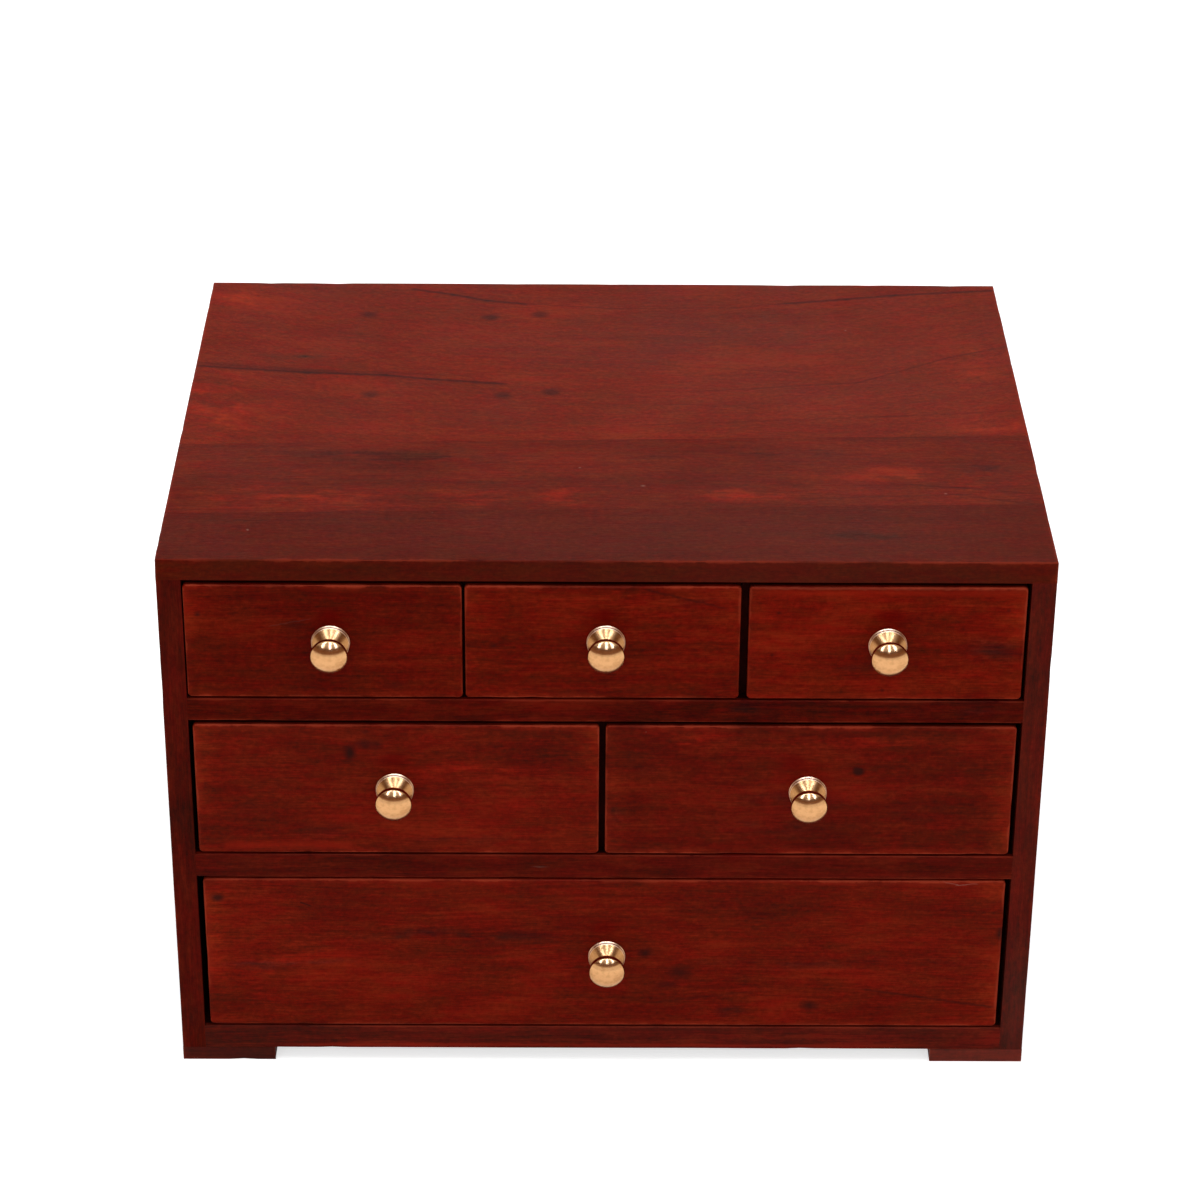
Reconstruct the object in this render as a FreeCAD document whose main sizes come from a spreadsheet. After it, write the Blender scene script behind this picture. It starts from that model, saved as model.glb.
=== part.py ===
import FreeCAD, Part
import os

import Sketcher

# A small wooden chest of six drawers that stands on a desk: three drawers over two over one, in a case
# of flat boards on four low corner feet, with a turned brass knob on each drawer.
#
# Frame: millimetres, +Z up, the feet on Z = 0, the drawers opening towards -Y, and the origin below the
# middle of the whole box, knobs included.

SHEET = "sizes"

# Driving dimensions: name, value in millimetres, what it measures.
SIZES = [
    ("case_width", 400.0, "outside width of the case"),
    ("case_depth", 299.0, "case from the front edges to the back edges"),
    ("case_height", 271.0, "floor to the top face"),
    ("top_thickness", 10.5, "boards of the top"),
    ("side_thickness", 11.0, "side boards"),
    ("upper_shelf_thickness", 11.5, "shelf between the upper and middle rows"),
    ("lower_shelf_thickness", 12.6, "shelf between the middle and lower rows"),
    ("base_thickness", 12.6, "base board"),
    ("middle_row_height", 71.8, "opening between the two shelves"),
    ("lower_row_height", 84.2, "opening between the lower shelf and the base board"),
    ("housing_depth", 4.0, "how far the shelves are let into the sides"),
    ("housing_stop", 8.0, "plain front edge in front of each housing"),
    ("joint_fit", 0.1, "clearance in a glued housing or groove"),
    ("edge_round", 0.6, "radius on the case's outer edges"),
    ("shelf_edge_round", 0.5, "radius on the shelves' front edges"),
    ("front_board_width", 50.0, "top's front board, at the middle of its length"),
    ("middle_board_width", 70.2, "top's middle board"),
    ("glue_line_skew", 12.5, "how much deeper the glue lines lie at the right end than at the left"),
    ("foot_height", 7.0, "corner feet"),
    ("foot_length", 44.0, "corner feet, along the front"),
    ("foot_width", 44.0, "corner feet, front to back"),
    ("back_thickness", 5.0, "plywood back"),
    ("back_rebate", 6.0, "width of the rebate that the back sits in"),
    ("back_fit", 0.3, "clearance round the back in its rebate"),
    ("dowel_diameter", 6.0, "dowels between the top and the sides"),
    ("dowel_length", 22.0, "dowels between the top and the sides"),
    ("dowel_in_top", 6.0, "dowel's length inside the top"),
    ("dowel_end_gap", 1.0, "room past each end of a dowel"),
    ("divider_thickness", 4.0, "upright dividers between drawers"),
    ("divider_groove", 3.0, "groove that a divider stands in"),
    ("divider_gap", 1.0, "drawer front to the divider behind it"),
    ("upper_divider_shift", -0.8, "upper dividers from the thirds of the opening"),
    ("middle_divider_shift", -1.4, "middle divider from the middle of the opening"),
    ("front_thickness", 11.0, "drawer fronts"),
    ("front_rebate", 5.0, "depth of the end rebates behind a drawer front"),
    ("front_lift", 0.9, "drawer front's lower edge above its shelf"),
    ("front_corner_round", 2.0, "drawer front's four corners"),
    ("front_edge_round", 0.9, "drawer front's outer edges"),
    ("divider_lap", 2.5, "drawer front past its side, where it laps a divider"),
    ("upper_top_gap", 2.3, "above the fronts of the upper row"),
    ("middle_top_gap", 2.1, "above the fronts of the middle row"),
    ("lower_top_gap", 1.1, "above the front of the lower row"),
    ("drawer_board", 7.0, "drawer sides and backs"),
    ("side_drop", 2.0, "drawer side's top edge below its front's"),
    ("panel_thickness", 3.5, "drawer bottoms"),
    ("panel_lift", 4.0, "drawer bottom above the sides' lower edges"),
    ("panel_groove", 3.5, "depth of the grooves for a drawer bottom"),
    ("panel_fit", 0.2, "clearance of a drawer bottom in its grooves"),
    ("rear_gap", 0.5, "drawer to the back panel, when shut"),
    ("knob_reach", 17.7, "knob, from the drawer front to its tip"),
    ("knob_base_diameter", 17.4, "knob's flange"),
    ("knob_flange", 1.1, "thickness of the knob's flange"),
    ("knob_cup_diameter", 16.9, "foot of the knob's stem, inside the flange"),
    ("knob_cup_height", 1.0, "straight foot of the knob's stem"),
    ("knob_neck_diameter", 7.6, "narrowest part of the knob"),
    ("knob_neck_height", 7.8, "drawer front to the narrowest part of the knob"),
    ("knob_head_diameter", 16.8, "knob's head"),
    ("knob_head_height", 13.3, "drawer front to the widest part of the head"),
    ("knob_rim_round", 1.6, "radius of the head's rim"),
    ("screw_diameter", 4.0, "knob screw's shank"),
    ("screw_in_knob", 6.0, "length of the screw inside the knob"),
    ("screw_head_diameter", 8.0, "knob screw's pan head"),
    ("screw_head_height", 2.4, "knob screw's pan head"),
    ("screw_head_edge", 0.8, "chamfer round the pan head"),
    ("screw_slot_width", 1.1, "screwdriver slot"),
    ("screw_slot_depth", 1.2, "screwdriver slot"),
    ("screw_hole_fit", 0.5, "hole in the drawer front, over the screw's diameter"),
    ("thread_fit", 0.1, "threaded hole in the knob, over the screw's diameter"),
    ("thread_end_gap", 1.5, "threaded hole past the screw's end"),
]

# Each drawer: where it sits, its front's clearance at each end, and its knob's place from the front's
# middle, to the right and down.
DRAWERS = [
    # name, row, place in the row, gap at left, gap at right, knob to the right, knob down
    ("upper_left", "upper", "left", 0.6, 0.6, 3.1, 0.15),
    ("upper_middle", "upper", "middle", 0.6, 2.3, 1.5, -0.4),
    ("upper_right", "upper", "right", 1.3, 1.6, 0.6, 0.6),
    ("middle_left", "middle", "left", 1.9, 1.4, -1.2, -0.2),
    ("middle_right", "middle", "right", 1.5, 2.3, -0.6, 0.65),
    ("lower", "lower", "whole", 2.8, 2.5, 1.3, 1.5),
]

VOLUME_TOLERANCE = 1e-6  # cubic millimetres
PLACE_TOLERANCE = 1e-4  # millimetres


def size(name):
    """The expression that reads one cell of the sheet."""
    return f"{SHEET}.{name}"


def total(*terms):
    """The expression for a sum."""
    return "(" + " + ".join(terms) + ")"


def less(first, *others):
    """The expression for one value less others."""
    return "(" + " - ".join((first,) + others) + ")"


def half(term):
    """The expression for half a value."""
    return f"({term} / 2)"


def times(factor, term):
    """The expression for a multiple of a value."""
    return f"({factor} * {term})"


# ---- places shared by several pieces ----

ZERO = "0"
FRONT_Y = half(less(size("knob_reach"), size("case_depth")))
LEFT_X = half(less(ZERO, size("case_width")))
INNER_WIDTH = less(size("case_width"), times(2, size("side_thickness")))
INNER_LEFT = total(LEFT_X, size("side_thickness"))
INNER_DEPTH = less(size("case_depth"), size("back_thickness"))
BACK_INSIDE_Y = total(FRONT_Y, INNER_DEPTH)

BASE_Z = size("foot_height")
LOWER_ROW_Z = total(BASE_Z, size("base_thickness"))
LOWER_SHELF_Z = total(LOWER_ROW_Z, size("lower_row_height"))
MIDDLE_ROW_Z = total(LOWER_SHELF_Z, size("lower_shelf_thickness"))
UPPER_SHELF_Z = total(MIDDLE_ROW_Z, size("middle_row_height"))
UPPER_ROW_Z = total(UPPER_SHELF_Z, size("upper_shelf_thickness"))
TOP_Z = less(size("case_height"), size("top_thickness"))
SIDE_HEIGHT = less(TOP_Z, BASE_Z)
UPPER_ROW_HEIGHT = less(TOP_Z, UPPER_ROW_Z)

REBATE_LIP = less(size("side_thickness"), size("back_rebate"))
TOP_REBATE = half(size("top_thickness"))
DOWEL_IN_SIDE = less(size("dowel_length"), size("dowel_in_top"))
DOWEL_BORE = half(total(size("dowel_diameter"), size("joint_fit")))

FRONT_LIP = less(size("front_thickness"), size("front_rebate"))
DIVIDER_SETBACK = total(FRONT_LIP, size("divider_gap"))
UPPER_LEFT_DIVIDER_X = total(INNER_LEFT, f"{INNER_WIDTH} / 3", size("upper_divider_shift"))
UPPER_RIGHT_DIVIDER_X = total(INNER_LEFT, f"2 * {INNER_WIDTH} / 3", size("upper_divider_shift"))
MIDDLE_DIVIDER_X = total(INNER_LEFT, half(INNER_WIDTH), size("middle_divider_shift"))
INNER_RIGHT = total(INNER_LEFT, INNER_WIDTH)

# row: floor of the opening, height of the opening, gap above the fronts
ROWS = {
    "upper": (UPPER_ROW_Z, UPPER_ROW_HEIGHT, size("upper_top_gap")),
    "middle": (MIDDLE_ROW_Z, size("middle_row_height"), size("middle_top_gap")),
    "lower": (LOWER_ROW_Z, size("lower_row_height"), size("lower_top_gap")),
}

# row and place: left limit, right limit, lap over a divider at the left, and at the right
LAP = size("divider_lap")
BAYS = {
    ("upper", "left"): (INNER_LEFT, UPPER_LEFT_DIVIDER_X, ZERO, LAP),
    ("upper", "middle"): (UPPER_LEFT_DIVIDER_X, UPPER_RIGHT_DIVIDER_X, LAP, LAP),
    ("upper", "right"): (UPPER_RIGHT_DIVIDER_X, INNER_RIGHT, LAP, ZERO),
    ("middle", "left"): (INNER_LEFT, MIDDLE_DIVIDER_X, ZERO, LAP),
    ("middle", "right"): (MIDDLE_DIVIDER_X, INNER_RIGHT, LAP, ZERO),
    ("lower", "whole"): (INNER_LEFT, INNER_RIGHT, ZERO, ZERO),
}


# ---- how pieces are made ----


def make_sheet(doc):
    """The sheet of driving dimensions: a name, a plain number and a note on each line."""
    sheet = doc.addObject("Spreadsheet::Sheet", SHEET)
    lines = list(SIZES)
    for name, _, _, left, right, aside, down in DRAWERS:
        lines.append((f"{name}_left_gap", left, "left end of the drawer front to its limit"))
        lines.append((f"{name}_right_gap", right, "right end of the drawer front to its limit"))
        lines.append((f"{name}_knob_aside", aside, "knob right of the drawer front's middle"))
        lines.append((f"{name}_knob_drop", down, "knob below the drawer front's middle"))
    for line, (name, value, note) in enumerate(lines, 1):
        sheet.set(f"A{line}", name)
        sheet.set(f"B{line}", str(value))
        sheet.setAlias(f"B{line}", name)
        sheet.set(f"C{line}", note)
    doc.recompute()
    return sheet


def place(thing, x, y, z):
    """Binds a thing's Placement to three expressions."""
    for axis, expression in zip("xyz", (x, y, z)):
        thing.setExpression(f"Placement.Base.{axis}", expression)


def number(thing, expression):
    """The present value of an expression."""
    return float(thing.evalExpression(expression))


def point(thing, x, y):
    """The present place of a point that two expressions give."""
    return FreeCAD.Vector(number(thing, x), number(thing, y), 0)


def new_body(doc, label, x, y, z, rotation=FreeCAD.Rotation()):
    """An empty body with its origin at x, y, z."""
    body = doc.addObject("PartDesign::Body", label)
    body.Label = label
    body.Placement.Rotation = rotation
    place(body, x, y, z)
    return body


def new_sketch(body, role, offset=ZERO):
    """An empty sketch on one of the body's own origin planes, moved along the plane's normal."""
    sketch = body.newObject("Sketcher::SketchObject", f"{body.Name}_sketch")
    plane = next(p for p in body.Origin.OriginFeatures if p.Role == role)
    sketch.AttachmentSupport = [(plane, "")]
    sketch.MapMode = "FlatFace"
    if offset != ZERO:
        sketch.setExpression("AttachmentOffset.Base.z", offset)
    return sketch


def dimension(sketch, kind, value, *ends):
    """A dimension bound to an expression."""
    start = number(sketch, value)
    index = sketch.addConstraint(Sketcher.Constraint(kind, *ends, start))
    sketch.setExpression(f"Constraints[{index}]", value)


def fix(sketch, geometry, end, x, y):
    """Dimensions from the sketch's origin to one point of a geometry, or an axis where one is ZERO."""
    for kind, value, axis in (("DistanceX", x, -2), ("DistanceY", y, -1)):
        if value == ZERO:
            sketch.addConstraint(Sketcher.Constraint("PointOnObject", geometry, end, axis))
        else:
            dimension(sketch, kind, value, -1, 1, geometry, end)


def draw_polygon(sketch, corners):
    """A closed outline of straight lines through corners, each a pair of expressions."""
    points = [point(sketch, x, y) for x, y in corners]
    lines = [
        sketch.addGeometry(Part.LineSegment(start, end))
        for start, end in zip(points, points[1:] + points[:1])
    ]
    for line, following, (x, y) in zip(lines, lines[1:] + lines[:1], corners):
        sketch.addConstraint(Sketcher.Constraint("Coincident", line, 2, following, 1))
        fix(sketch, line, 1, x, y)


def draw_rectangle(sketch, x, y, width, height):
    """A rectangle with its lower left corner at x, y."""
    near = point(sketch, x, y)
    far = near + point(sketch, width, height)
    points = [near, FreeCAD.Vector(far.x, near.y, 0), far, FreeCAD.Vector(near.x, far.y, 0)]
    lines = [
        sketch.addGeometry(Part.LineSegment(start, end))
        for start, end in zip(points, points[1:] + points[:1])
    ]
    for line, following, direction in zip(
        lines, lines[1:] + lines[:1], ("Horizontal", "Vertical", "Horizontal", "Vertical")
    ):
        sketch.addConstraint(Sketcher.Constraint("Coincident", line, 2, following, 1))
        sketch.addConstraint(Sketcher.Constraint(direction, line))
    dimension(sketch, "DistanceX", width, lines[0], 1, lines[0], 2)
    dimension(sketch, "DistanceY", height, lines[1], 1, lines[1], 2)
    fix(sketch, lines[0], 1, x, y)


def draw_circle(sketch, x, y, radius):
    """A circle about x, y."""
    normal = FreeCAD.Vector(0, 0, 1)
    circle = Part.Circle(point(sketch, x, y), normal, number(sketch, radius))
    circle = sketch.addGeometry(circle)
    fix(sketch, circle, 3, x, y)
    dimension(sketch, "Radius", radius, circle)


def short_arc(centre, start, end):
    """The shorter arc about a centre from start to end."""
    radius = (start - centre).Length
    middle = centre + ((start + end) * 0.5 - centre).normalize() * radius
    return Part.Arc(start, middle, end)


class Turning:
    """One half of a turned outline, drawn piece by piece from the sketch's upright axis back to it.

    Points are pairs of expressions: the distance from the axis, and the height.
    """

    def __init__(self, sketch, height):
        self.sketch = sketch
        self.start = (ZERO, height)
        self.here = self.start
        self.pieces = []

    def _add(self, shape, end):
        """Adds one line or arc from the last point to end, and joins it to the piece before it."""
        piece = self.sketch.addGeometry(shape)
        start = point(self.sketch, *self.here)
        first, last = 1, 2
        if (self.sketch.getPoint(piece, 1) - start).Length > PLACE_TOLERANCE:
            first, last = 2, 1
        if self.pieces:
            before, _, before_last = self.pieces[-1]
            joint = Sketcher.Constraint("Coincident", before, before_last, piece, first)
            self.sketch.addConstraint(joint)
        else:
            fix(self.sketch, piece, first, *self.here)
        fix(self.sketch, piece, last, *end)
        self.pieces.append((piece, first, last))
        self.here = end

    def line_to(self, x, y):
        """A straight line."""
        start = point(self.sketch, *self.here)
        self._add(Part.LineSegment(start, point(self.sketch, x, y)), (x, y))

    def curve_to(self, x, y):
        """An arc that ends upright, so its centre is level with its end."""
        start = point(self.sketch, *self.here)
        end = point(self.sketch, x, y)
        across = start.x - end.x
        radius = (across**2 + (end.y - start.y) ** 2) / (2 * across)
        centre = end + FreeCAD.Vector(radius, 0, 0)
        self._add(short_arc(centre, start, end), (x, y))
        arc, _, last = self.pieces[-1]
        self.sketch.addConstraint(Sketcher.Constraint("Horizontal", arc, 3, arc, last))

    def dome_to(self, height, rim):
        """A rim that starts upright and rolls smoothly into a dome, which ends on the axis."""
        start = point(self.sketch, *self.here)
        tip = point(self.sketch, ZERO, height)
        roll = number(self.sketch, rim)
        rise = tip.y - start.y
        radius = ((start.x - roll) ** 2 + rise**2 - roll**2) / (2 * (rise - roll))
        rim_centre = start - FreeCAD.Vector(roll, 0, 0)
        dome_centre = tip - FreeCAD.Vector(0, radius, 0)
        meeting = dome_centre + (rim_centre - dome_centre).normalize() * radius
        rim_arc = self.sketch.addGeometry(short_arc(rim_centre, start, meeting))
        dome_arc = self.sketch.addGeometry(short_arc(dome_centre, meeting, tip))
        before, _, before_last = self.pieces[-1]
        for constraint in (
            Sketcher.Constraint("Coincident", before, before_last, rim_arc, 1),
            Sketcher.Constraint("Horizontal", rim_arc, 3, rim_arc, 1),
            Sketcher.Constraint("Tangent", rim_arc, 2, dome_arc, 1),
            Sketcher.Constraint("PointOnObject", dome_arc, 3, -2),
        ):
            self.sketch.addConstraint(constraint)
        dimension(self.sketch, "Radius", rim, rim_arc)
        fix(self.sketch, dome_arc, 2, ZERO, height)
        self.pieces += [(rim_arc, 1, 2), (dome_arc, 1, 2)]
        self.here = (ZERO, height)

    def close(self):
        """The line back along the axis."""
        points = [point(self.sketch, *place) for place in (self.here, self.start)]
        axis = self.sketch.addGeometry(Part.LineSegment(*points))
        for (piece, end), axis_end in (
            ((self.pieces[-1][0], self.pieces[-1][2]), 1),
            ((self.pieces[0][0], self.pieces[0][1]), 2),
        ):
            self.sketch.addConstraint(Sketcher.Constraint("Coincident", piece, end, axis, axis_end))


def pad(body, sketch, length, backwards=False):
    """A pad of a sketch, along the sketch's normal or against it."""
    feature = body.newObject("PartDesign::Pad", f"{body.Name}_pad")
    feature.Profile = sketch
    feature.Reversed = backwards
    feature.setExpression("Length", length)
    body.Document.recompute()
    return feature


def pocket(body, sketch, length, along_normal=True):
    """A pocket of a sketch, along the sketch's normal or against it. It has to remove something."""
    before = body.Shape.Volume
    feature = body.newObject("PartDesign::Pocket", f"{body.Name}_pocket")
    feature.Profile = sketch
    feature.Reversed = along_normal
    feature.setExpression("Length", length)
    body.Document.recompute()
    if body.Shape.Volume > before - VOLUME_TOLERANCE:
        raise RuntimeError(f"{body.Label}: a pocket removed nothing")
    return feature


def round_edges(body, radius, chosen):
    """A fillet on the edges that chosen picks by their box in the body's own frame."""
    solid = body.Tip
    boxes = [edge.BoundBox for edge in solid.Shape.Edges]
    names = [f"Edge{i}" for i, box in enumerate(boxes, 1) if chosen(box)]
    if not names:
        raise RuntimeError(f"{body.Label}: no edge to round")
    feature = body.newObject("PartDesign::Fillet", f"{body.Name}_fillet")
    feature.Base = (solid, names)
    feature.setExpression("Radius", radius)
    body.Document.recompute()
    return feature


def at(value, wanted):
    """Whether two lengths are the same place."""
    return abs(value - wanted) < PLACE_TOLERANCE


def slab(doc, label, corner, width, depth, height):
    """A plain rectangular board with its lower left front corner at a place."""
    body = new_body(doc, label, *corner)
    sketch = new_sketch(body, "XY_Plane")
    draw_rectangle(sketch, ZERO, ZERO, width, depth)
    pad(body, sketch, height)
    return body


# ---- the case ----


def dowel_places():
    """Each dowel's distance behind the case's front: one in the middle of each board of the top."""
    front = size("front_board_width")
    middle = size("middle_board_width")
    rear = less(INNER_DEPTH, front, middle)
    return {
        "front": half(front),
        "middle": total(front, half(middle)),
        "rear": total(front, middle, half(rear)),
    }


def make_side(doc, label, is_left):
    """A side board: stopped housings for three boards, a rebate for the back, and dowel holes on top."""
    thickness = size("side_thickness")
    left = LEFT_X if is_left else INNER_RIGHT
    body = new_body(doc, label, left, FRONT_Y, BASE_Z)
    outline = new_sketch(body, "YZ_Plane")
    draw_rectangle(outline, ZERO, ZERO, size("case_depth"), SIDE_HEIGHT)
    pad(body, outline, thickness)

    inner_face = less(thickness, size("housing_depth")) if is_left else ZERO
    housings = new_sketch(body, "YZ_Plane", inner_face)
    length = less(INNER_DEPTH, size("housing_stop"))
    shelves = [
        (ZERO, "base_thickness"),
        (less(LOWER_SHELF_Z, BASE_Z), "lower_shelf_thickness"),
        (less(UPPER_SHELF_Z, BASE_Z), "upper_shelf_thickness"),
    ]
    for z, shelf in shelves:
        draw_rectangle(housings, size("housing_stop"), z, length, total(size(shelf), size("joint_fit")))
    pocket(body, housings, size("housing_depth"))

    rebate = new_sketch(body, "YZ_Plane", REBATE_LIP if is_left else ZERO)
    draw_rectangle(rebate, INNER_DEPTH, ZERO, size("back_thickness"), SIDE_HEIGHT)
    pocket(body, rebate, size("back_rebate"))

    holes = new_sketch(body, "XY_Plane", SIDE_HEIGHT)
    for y in dowel_places().values():
        draw_circle(holes, half(thickness), y, DOWEL_BORE)
    pocket(body, holes, total(DOWEL_IN_SIDE, size("dowel_end_gap")), along_normal=False)

    outer_x = 0.0 if is_left else body.Shape.BoundBox.XLength
    round_edges(
        body,
        size("edge_round"),
        lambda box: at(box.XMin, outer_x) and at(box.XMax, outer_x) and at(box.YMax, 0.0),
    )
    return body


def make_shelf(doc, label, z, thickness, divider_xs=()):
    """A shelf or base board, notched at its front corners, with grooves on top for dividers."""
    tenon = less(size("housing_depth"), size("joint_fit"))
    stop = total(size("housing_stop"), size("joint_fit"))
    inner_end = total(tenon, INNER_WIDTH)
    outer_end = total(inner_end, tenon)
    body = new_body(doc, label, less(INNER_LEFT, tenon), FRONT_Y, z)
    outline = new_sketch(body, "XY_Plane")
    draw_polygon(
        outline,
        [
            (tenon, ZERO),
            (inner_end, ZERO),
            (inner_end, stop),
            (outer_end, stop),
            (outer_end, INNER_DEPTH),
            (ZERO, INNER_DEPTH),
            (ZERO, stop),
            (tenon, stop),
        ],
    )
    pad(body, outline, thickness)
    if divider_xs:
        grooves = new_sketch(body, "XY_Plane", thickness)
        width = total(size("divider_thickness"), size("joint_fit"))
        start = less(DIVIDER_SETBACK, size("joint_fit"))
        for x in divider_xs:
            left = less(x, INNER_LEFT, half(width), less(ZERO, tenon))
            draw_rectangle(grooves, left, start, width, less(INNER_DEPTH, start))
        pocket(body, grooves, size("divider_groove"), along_normal=False)
    round_edges(
        body,
        size("shelf_edge_round"),
        lambda box: at(box.YMin, 0.0) and at(box.YMax, 0.0) and box.XLength > box.ZLength,
    )
    return body


def make_top(doc):
    """The top: three boards glued edge to edge, with glue lines that run slightly askew."""
    width = size("case_width")
    skew = half(size("glue_line_skew"))
    front_left = less(size("front_board_width"), skew)
    front_right = total(size("front_board_width"), skew)
    rear_left = total(front_left, size("middle_board_width"))
    rear_right = total(front_right, size("middle_board_width"))
    depth = size("case_depth")
    boards = {
        "front": [(ZERO, ZERO), (width, ZERO), (width, front_right), (ZERO, front_left)],
        "middle": [(ZERO, front_left), (width, front_right), (width, rear_right), (ZERO, rear_left)],
        "rear": [(ZERO, rear_left), (width, rear_right), (width, depth), (ZERO, depth)],
    }
    bodies = []
    for name, corners in boards.items():
        body = new_body(doc, f"top_board_{name}", LEFT_X, FRONT_Y, TOP_Z)
        outline = new_sketch(body, "XY_Plane")
        draw_polygon(outline, corners)
        pad(body, outline, size("top_thickness"))

        holes = new_sketch(body, "XY_Plane")
        y = dowel_places()[name]
        for x in (half(size("side_thickness")), less(width, half(size("side_thickness")))):
            draw_circle(holes, x, y, DOWEL_BORE)
        pocket(body, holes, total(size("dowel_in_top"), size("dowel_end_gap")))

        if name == "rear":
            rebate = new_sketch(body, "XY_Plane")
            rebate_width = less(width, times(2, REBATE_LIP))
            draw_rectangle(rebate, REBATE_LIP, INNER_DEPTH, rebate_width, size("back_thickness"))
            pocket(body, rebate, TOP_REBATE)

        whole = body.Shape.BoundBox
        width_now = whole.XLength
        height_now = whole.ZLength
        depth_now = doc.getObject(SHEET).case_depth
        round_edges(
            body,
            size("edge_round"),
            lambda box: at(box.ZMin, height_now)
            and (
                at(box.XMax, 0.0)
                or at(box.XMin, width_now)
                or at(box.YMax, 0.0)
                or at(box.YMin, depth_now)
            ),
        )
        bodies.append(body)
    return bodies


def make_back(doc):
    """The plywood back in its rebates."""
    left = total(LEFT_X, REBATE_LIP, size("back_fit"))
    width = less(size("case_width"), times(2, REBATE_LIP), times(2, size("back_fit")))
    height = less(total(SIDE_HEIGHT, TOP_REBATE), size("back_fit"))
    return slab(
        doc, "back_panel", (left, BACK_INSIDE_Y, BASE_Z), width, size("back_thickness"), height
    )


def make_group(doc, label, pieces):
    """Several like fasteners as one node."""
    group = doc.addObject("Part::Compound", label)
    group.Label = label
    group.Links = pieces
    return group


def make_dowels(doc):
    """Three dowels between the top and each side."""
    dowels = []
    for end, x in (
        ("left", total(LEFT_X, half(size("side_thickness")))),
        ("right", total(INNER_RIGHT, half(size("side_thickness")))),
    ):
        for board, y in dowel_places().items():
            dowel = doc.addObject("Part::Cylinder", f"dowel_{board}_{end}")
            dowel.setExpression("Radius", half(size("dowel_diameter")))
            dowel.setExpression("Height", size("dowel_length"))
            place(dowel, x, total(FRONT_Y, y), less(TOP_Z, DOWEL_IN_SIDE))
            dowels.append(dowel)
    return make_group(doc, "top_dowels", dowels)


def make_feet(doc):
    """Four square blocks glued under the corners, flush with the case's faces."""
    length = size("foot_length")
    width = size("foot_width")
    right_x = less(ZERO, total(LEFT_X, length))
    rear_y = less(total(FRONT_Y, size("case_depth")), width)
    corners = {
        "front_left_foot": (LEFT_X, FRONT_Y, ZERO),
        "front_right_foot": (right_x, FRONT_Y, ZERO),
        "rear_left_foot": (LEFT_X, rear_y, ZERO),
        "rear_right_foot": (right_x, rear_y, ZERO),
    }
    height = size("foot_height")
    return [slab(doc, label, corner, length, width, height) for label, corner in corners.items()]


def make_divider(doc, label, x, row):
    """A thin upright board between two drawers, set back behind their fronts, in a groove below."""
    floor, height, _ = ROWS[row]
    groove = size("divider_groove")
    corner = (
        less(x, half(size("divider_thickness"))),
        total(FRONT_Y, DIVIDER_SETBACK),
        less(floor, groove),
    )
    depth = less(INNER_DEPTH, DIVIDER_SETBACK)
    return slab(doc, label, corner, size("divider_thickness"), depth, total(height, groove))


def make_case(doc):
    """Every piece of the case."""
    upper_dividers = {
        "left_upper_divider": UPPER_LEFT_DIVIDER_X,
        "right_upper_divider": UPPER_RIGHT_DIVIDER_X,
    }
    pieces = make_top(doc)
    pieces.append(make_side(doc, "left_side", is_left=True))
    pieces.append(make_side(doc, "right_side", is_left=False))
    upper_thickness = size("upper_shelf_thickness")
    pieces.append(
        make_shelf(doc, "upper_shelf", UPPER_SHELF_Z, upper_thickness, upper_dividers.values())
    )
    lower_thickness = size("lower_shelf_thickness")
    pieces.append(
        make_shelf(doc, "lower_shelf", LOWER_SHELF_Z, lower_thickness, [MIDDLE_DIVIDER_X])
    )
    pieces.append(make_shelf(doc, "base_board", BASE_Z, size("base_thickness")))
    for label, x in upper_dividers.items():
        pieces.append(make_divider(doc, label, x, "upper"))
    pieces.append(make_divider(doc, "middle_divider", MIDDLE_DIVIDER_X, "middle"))
    pieces.append(make_back(doc))
    pieces.append(make_dowels(doc))
    pieces.extend(make_feet(doc))
    return pieces


# ---- the drawers ----


class DrawerPlan:
    """The expressions that place one drawer and its boards."""

    def __init__(self, name, row, bay):
        left_limit, right_limit, self.left_lap, self.right_lap = BAYS[(row, bay)]
        self.name = name
        self.floor, opening, top_gap = ROWS[row]
        self.front_left = total(left_limit, size(f"{name}_left_gap"))
        self.front_width = less(right_limit, size(f"{name}_right_gap"), self.front_left)
        self.front_floor = total(self.floor, size("front_lift"))
        self.front_height = less(opening, size("front_lift"), top_gap)
        self.side_height = less(total(self.front_height, size("front_lift")), size("side_drop"))
        self.box_left = total(self.front_left, self.left_lap)
        self.box_width = less(self.front_width, self.left_lap, self.right_lap)
        self.inner_left = total(self.box_left, size("drawer_board"))
        self.inner_width = less(self.box_width, times(2, size("drawer_board")))
        self.side_length = less(INNER_DEPTH, size("rear_gap"), FRONT_LIP)
        self.rear_y = less(BACK_INSIDE_Y, size("rear_gap"))
        self.knob_x = total(half(self.front_width), size(f"{name}_knob_aside"))
        self.knob_z = less(half(self.front_height), size(f"{name}_knob_drop"))

    def knob_axis(self):
        """X and Z of the knob's axis."""
        return total(self.front_left, self.knob_x), total(self.front_floor, self.knob_z)

    def label(self, piece):
        """The node name of one of this drawer's pieces."""
        return f"{self.name}_drawer_{piece}"


PANEL_SLOT = total(size("panel_thickness"), size("panel_fit"))


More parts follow.
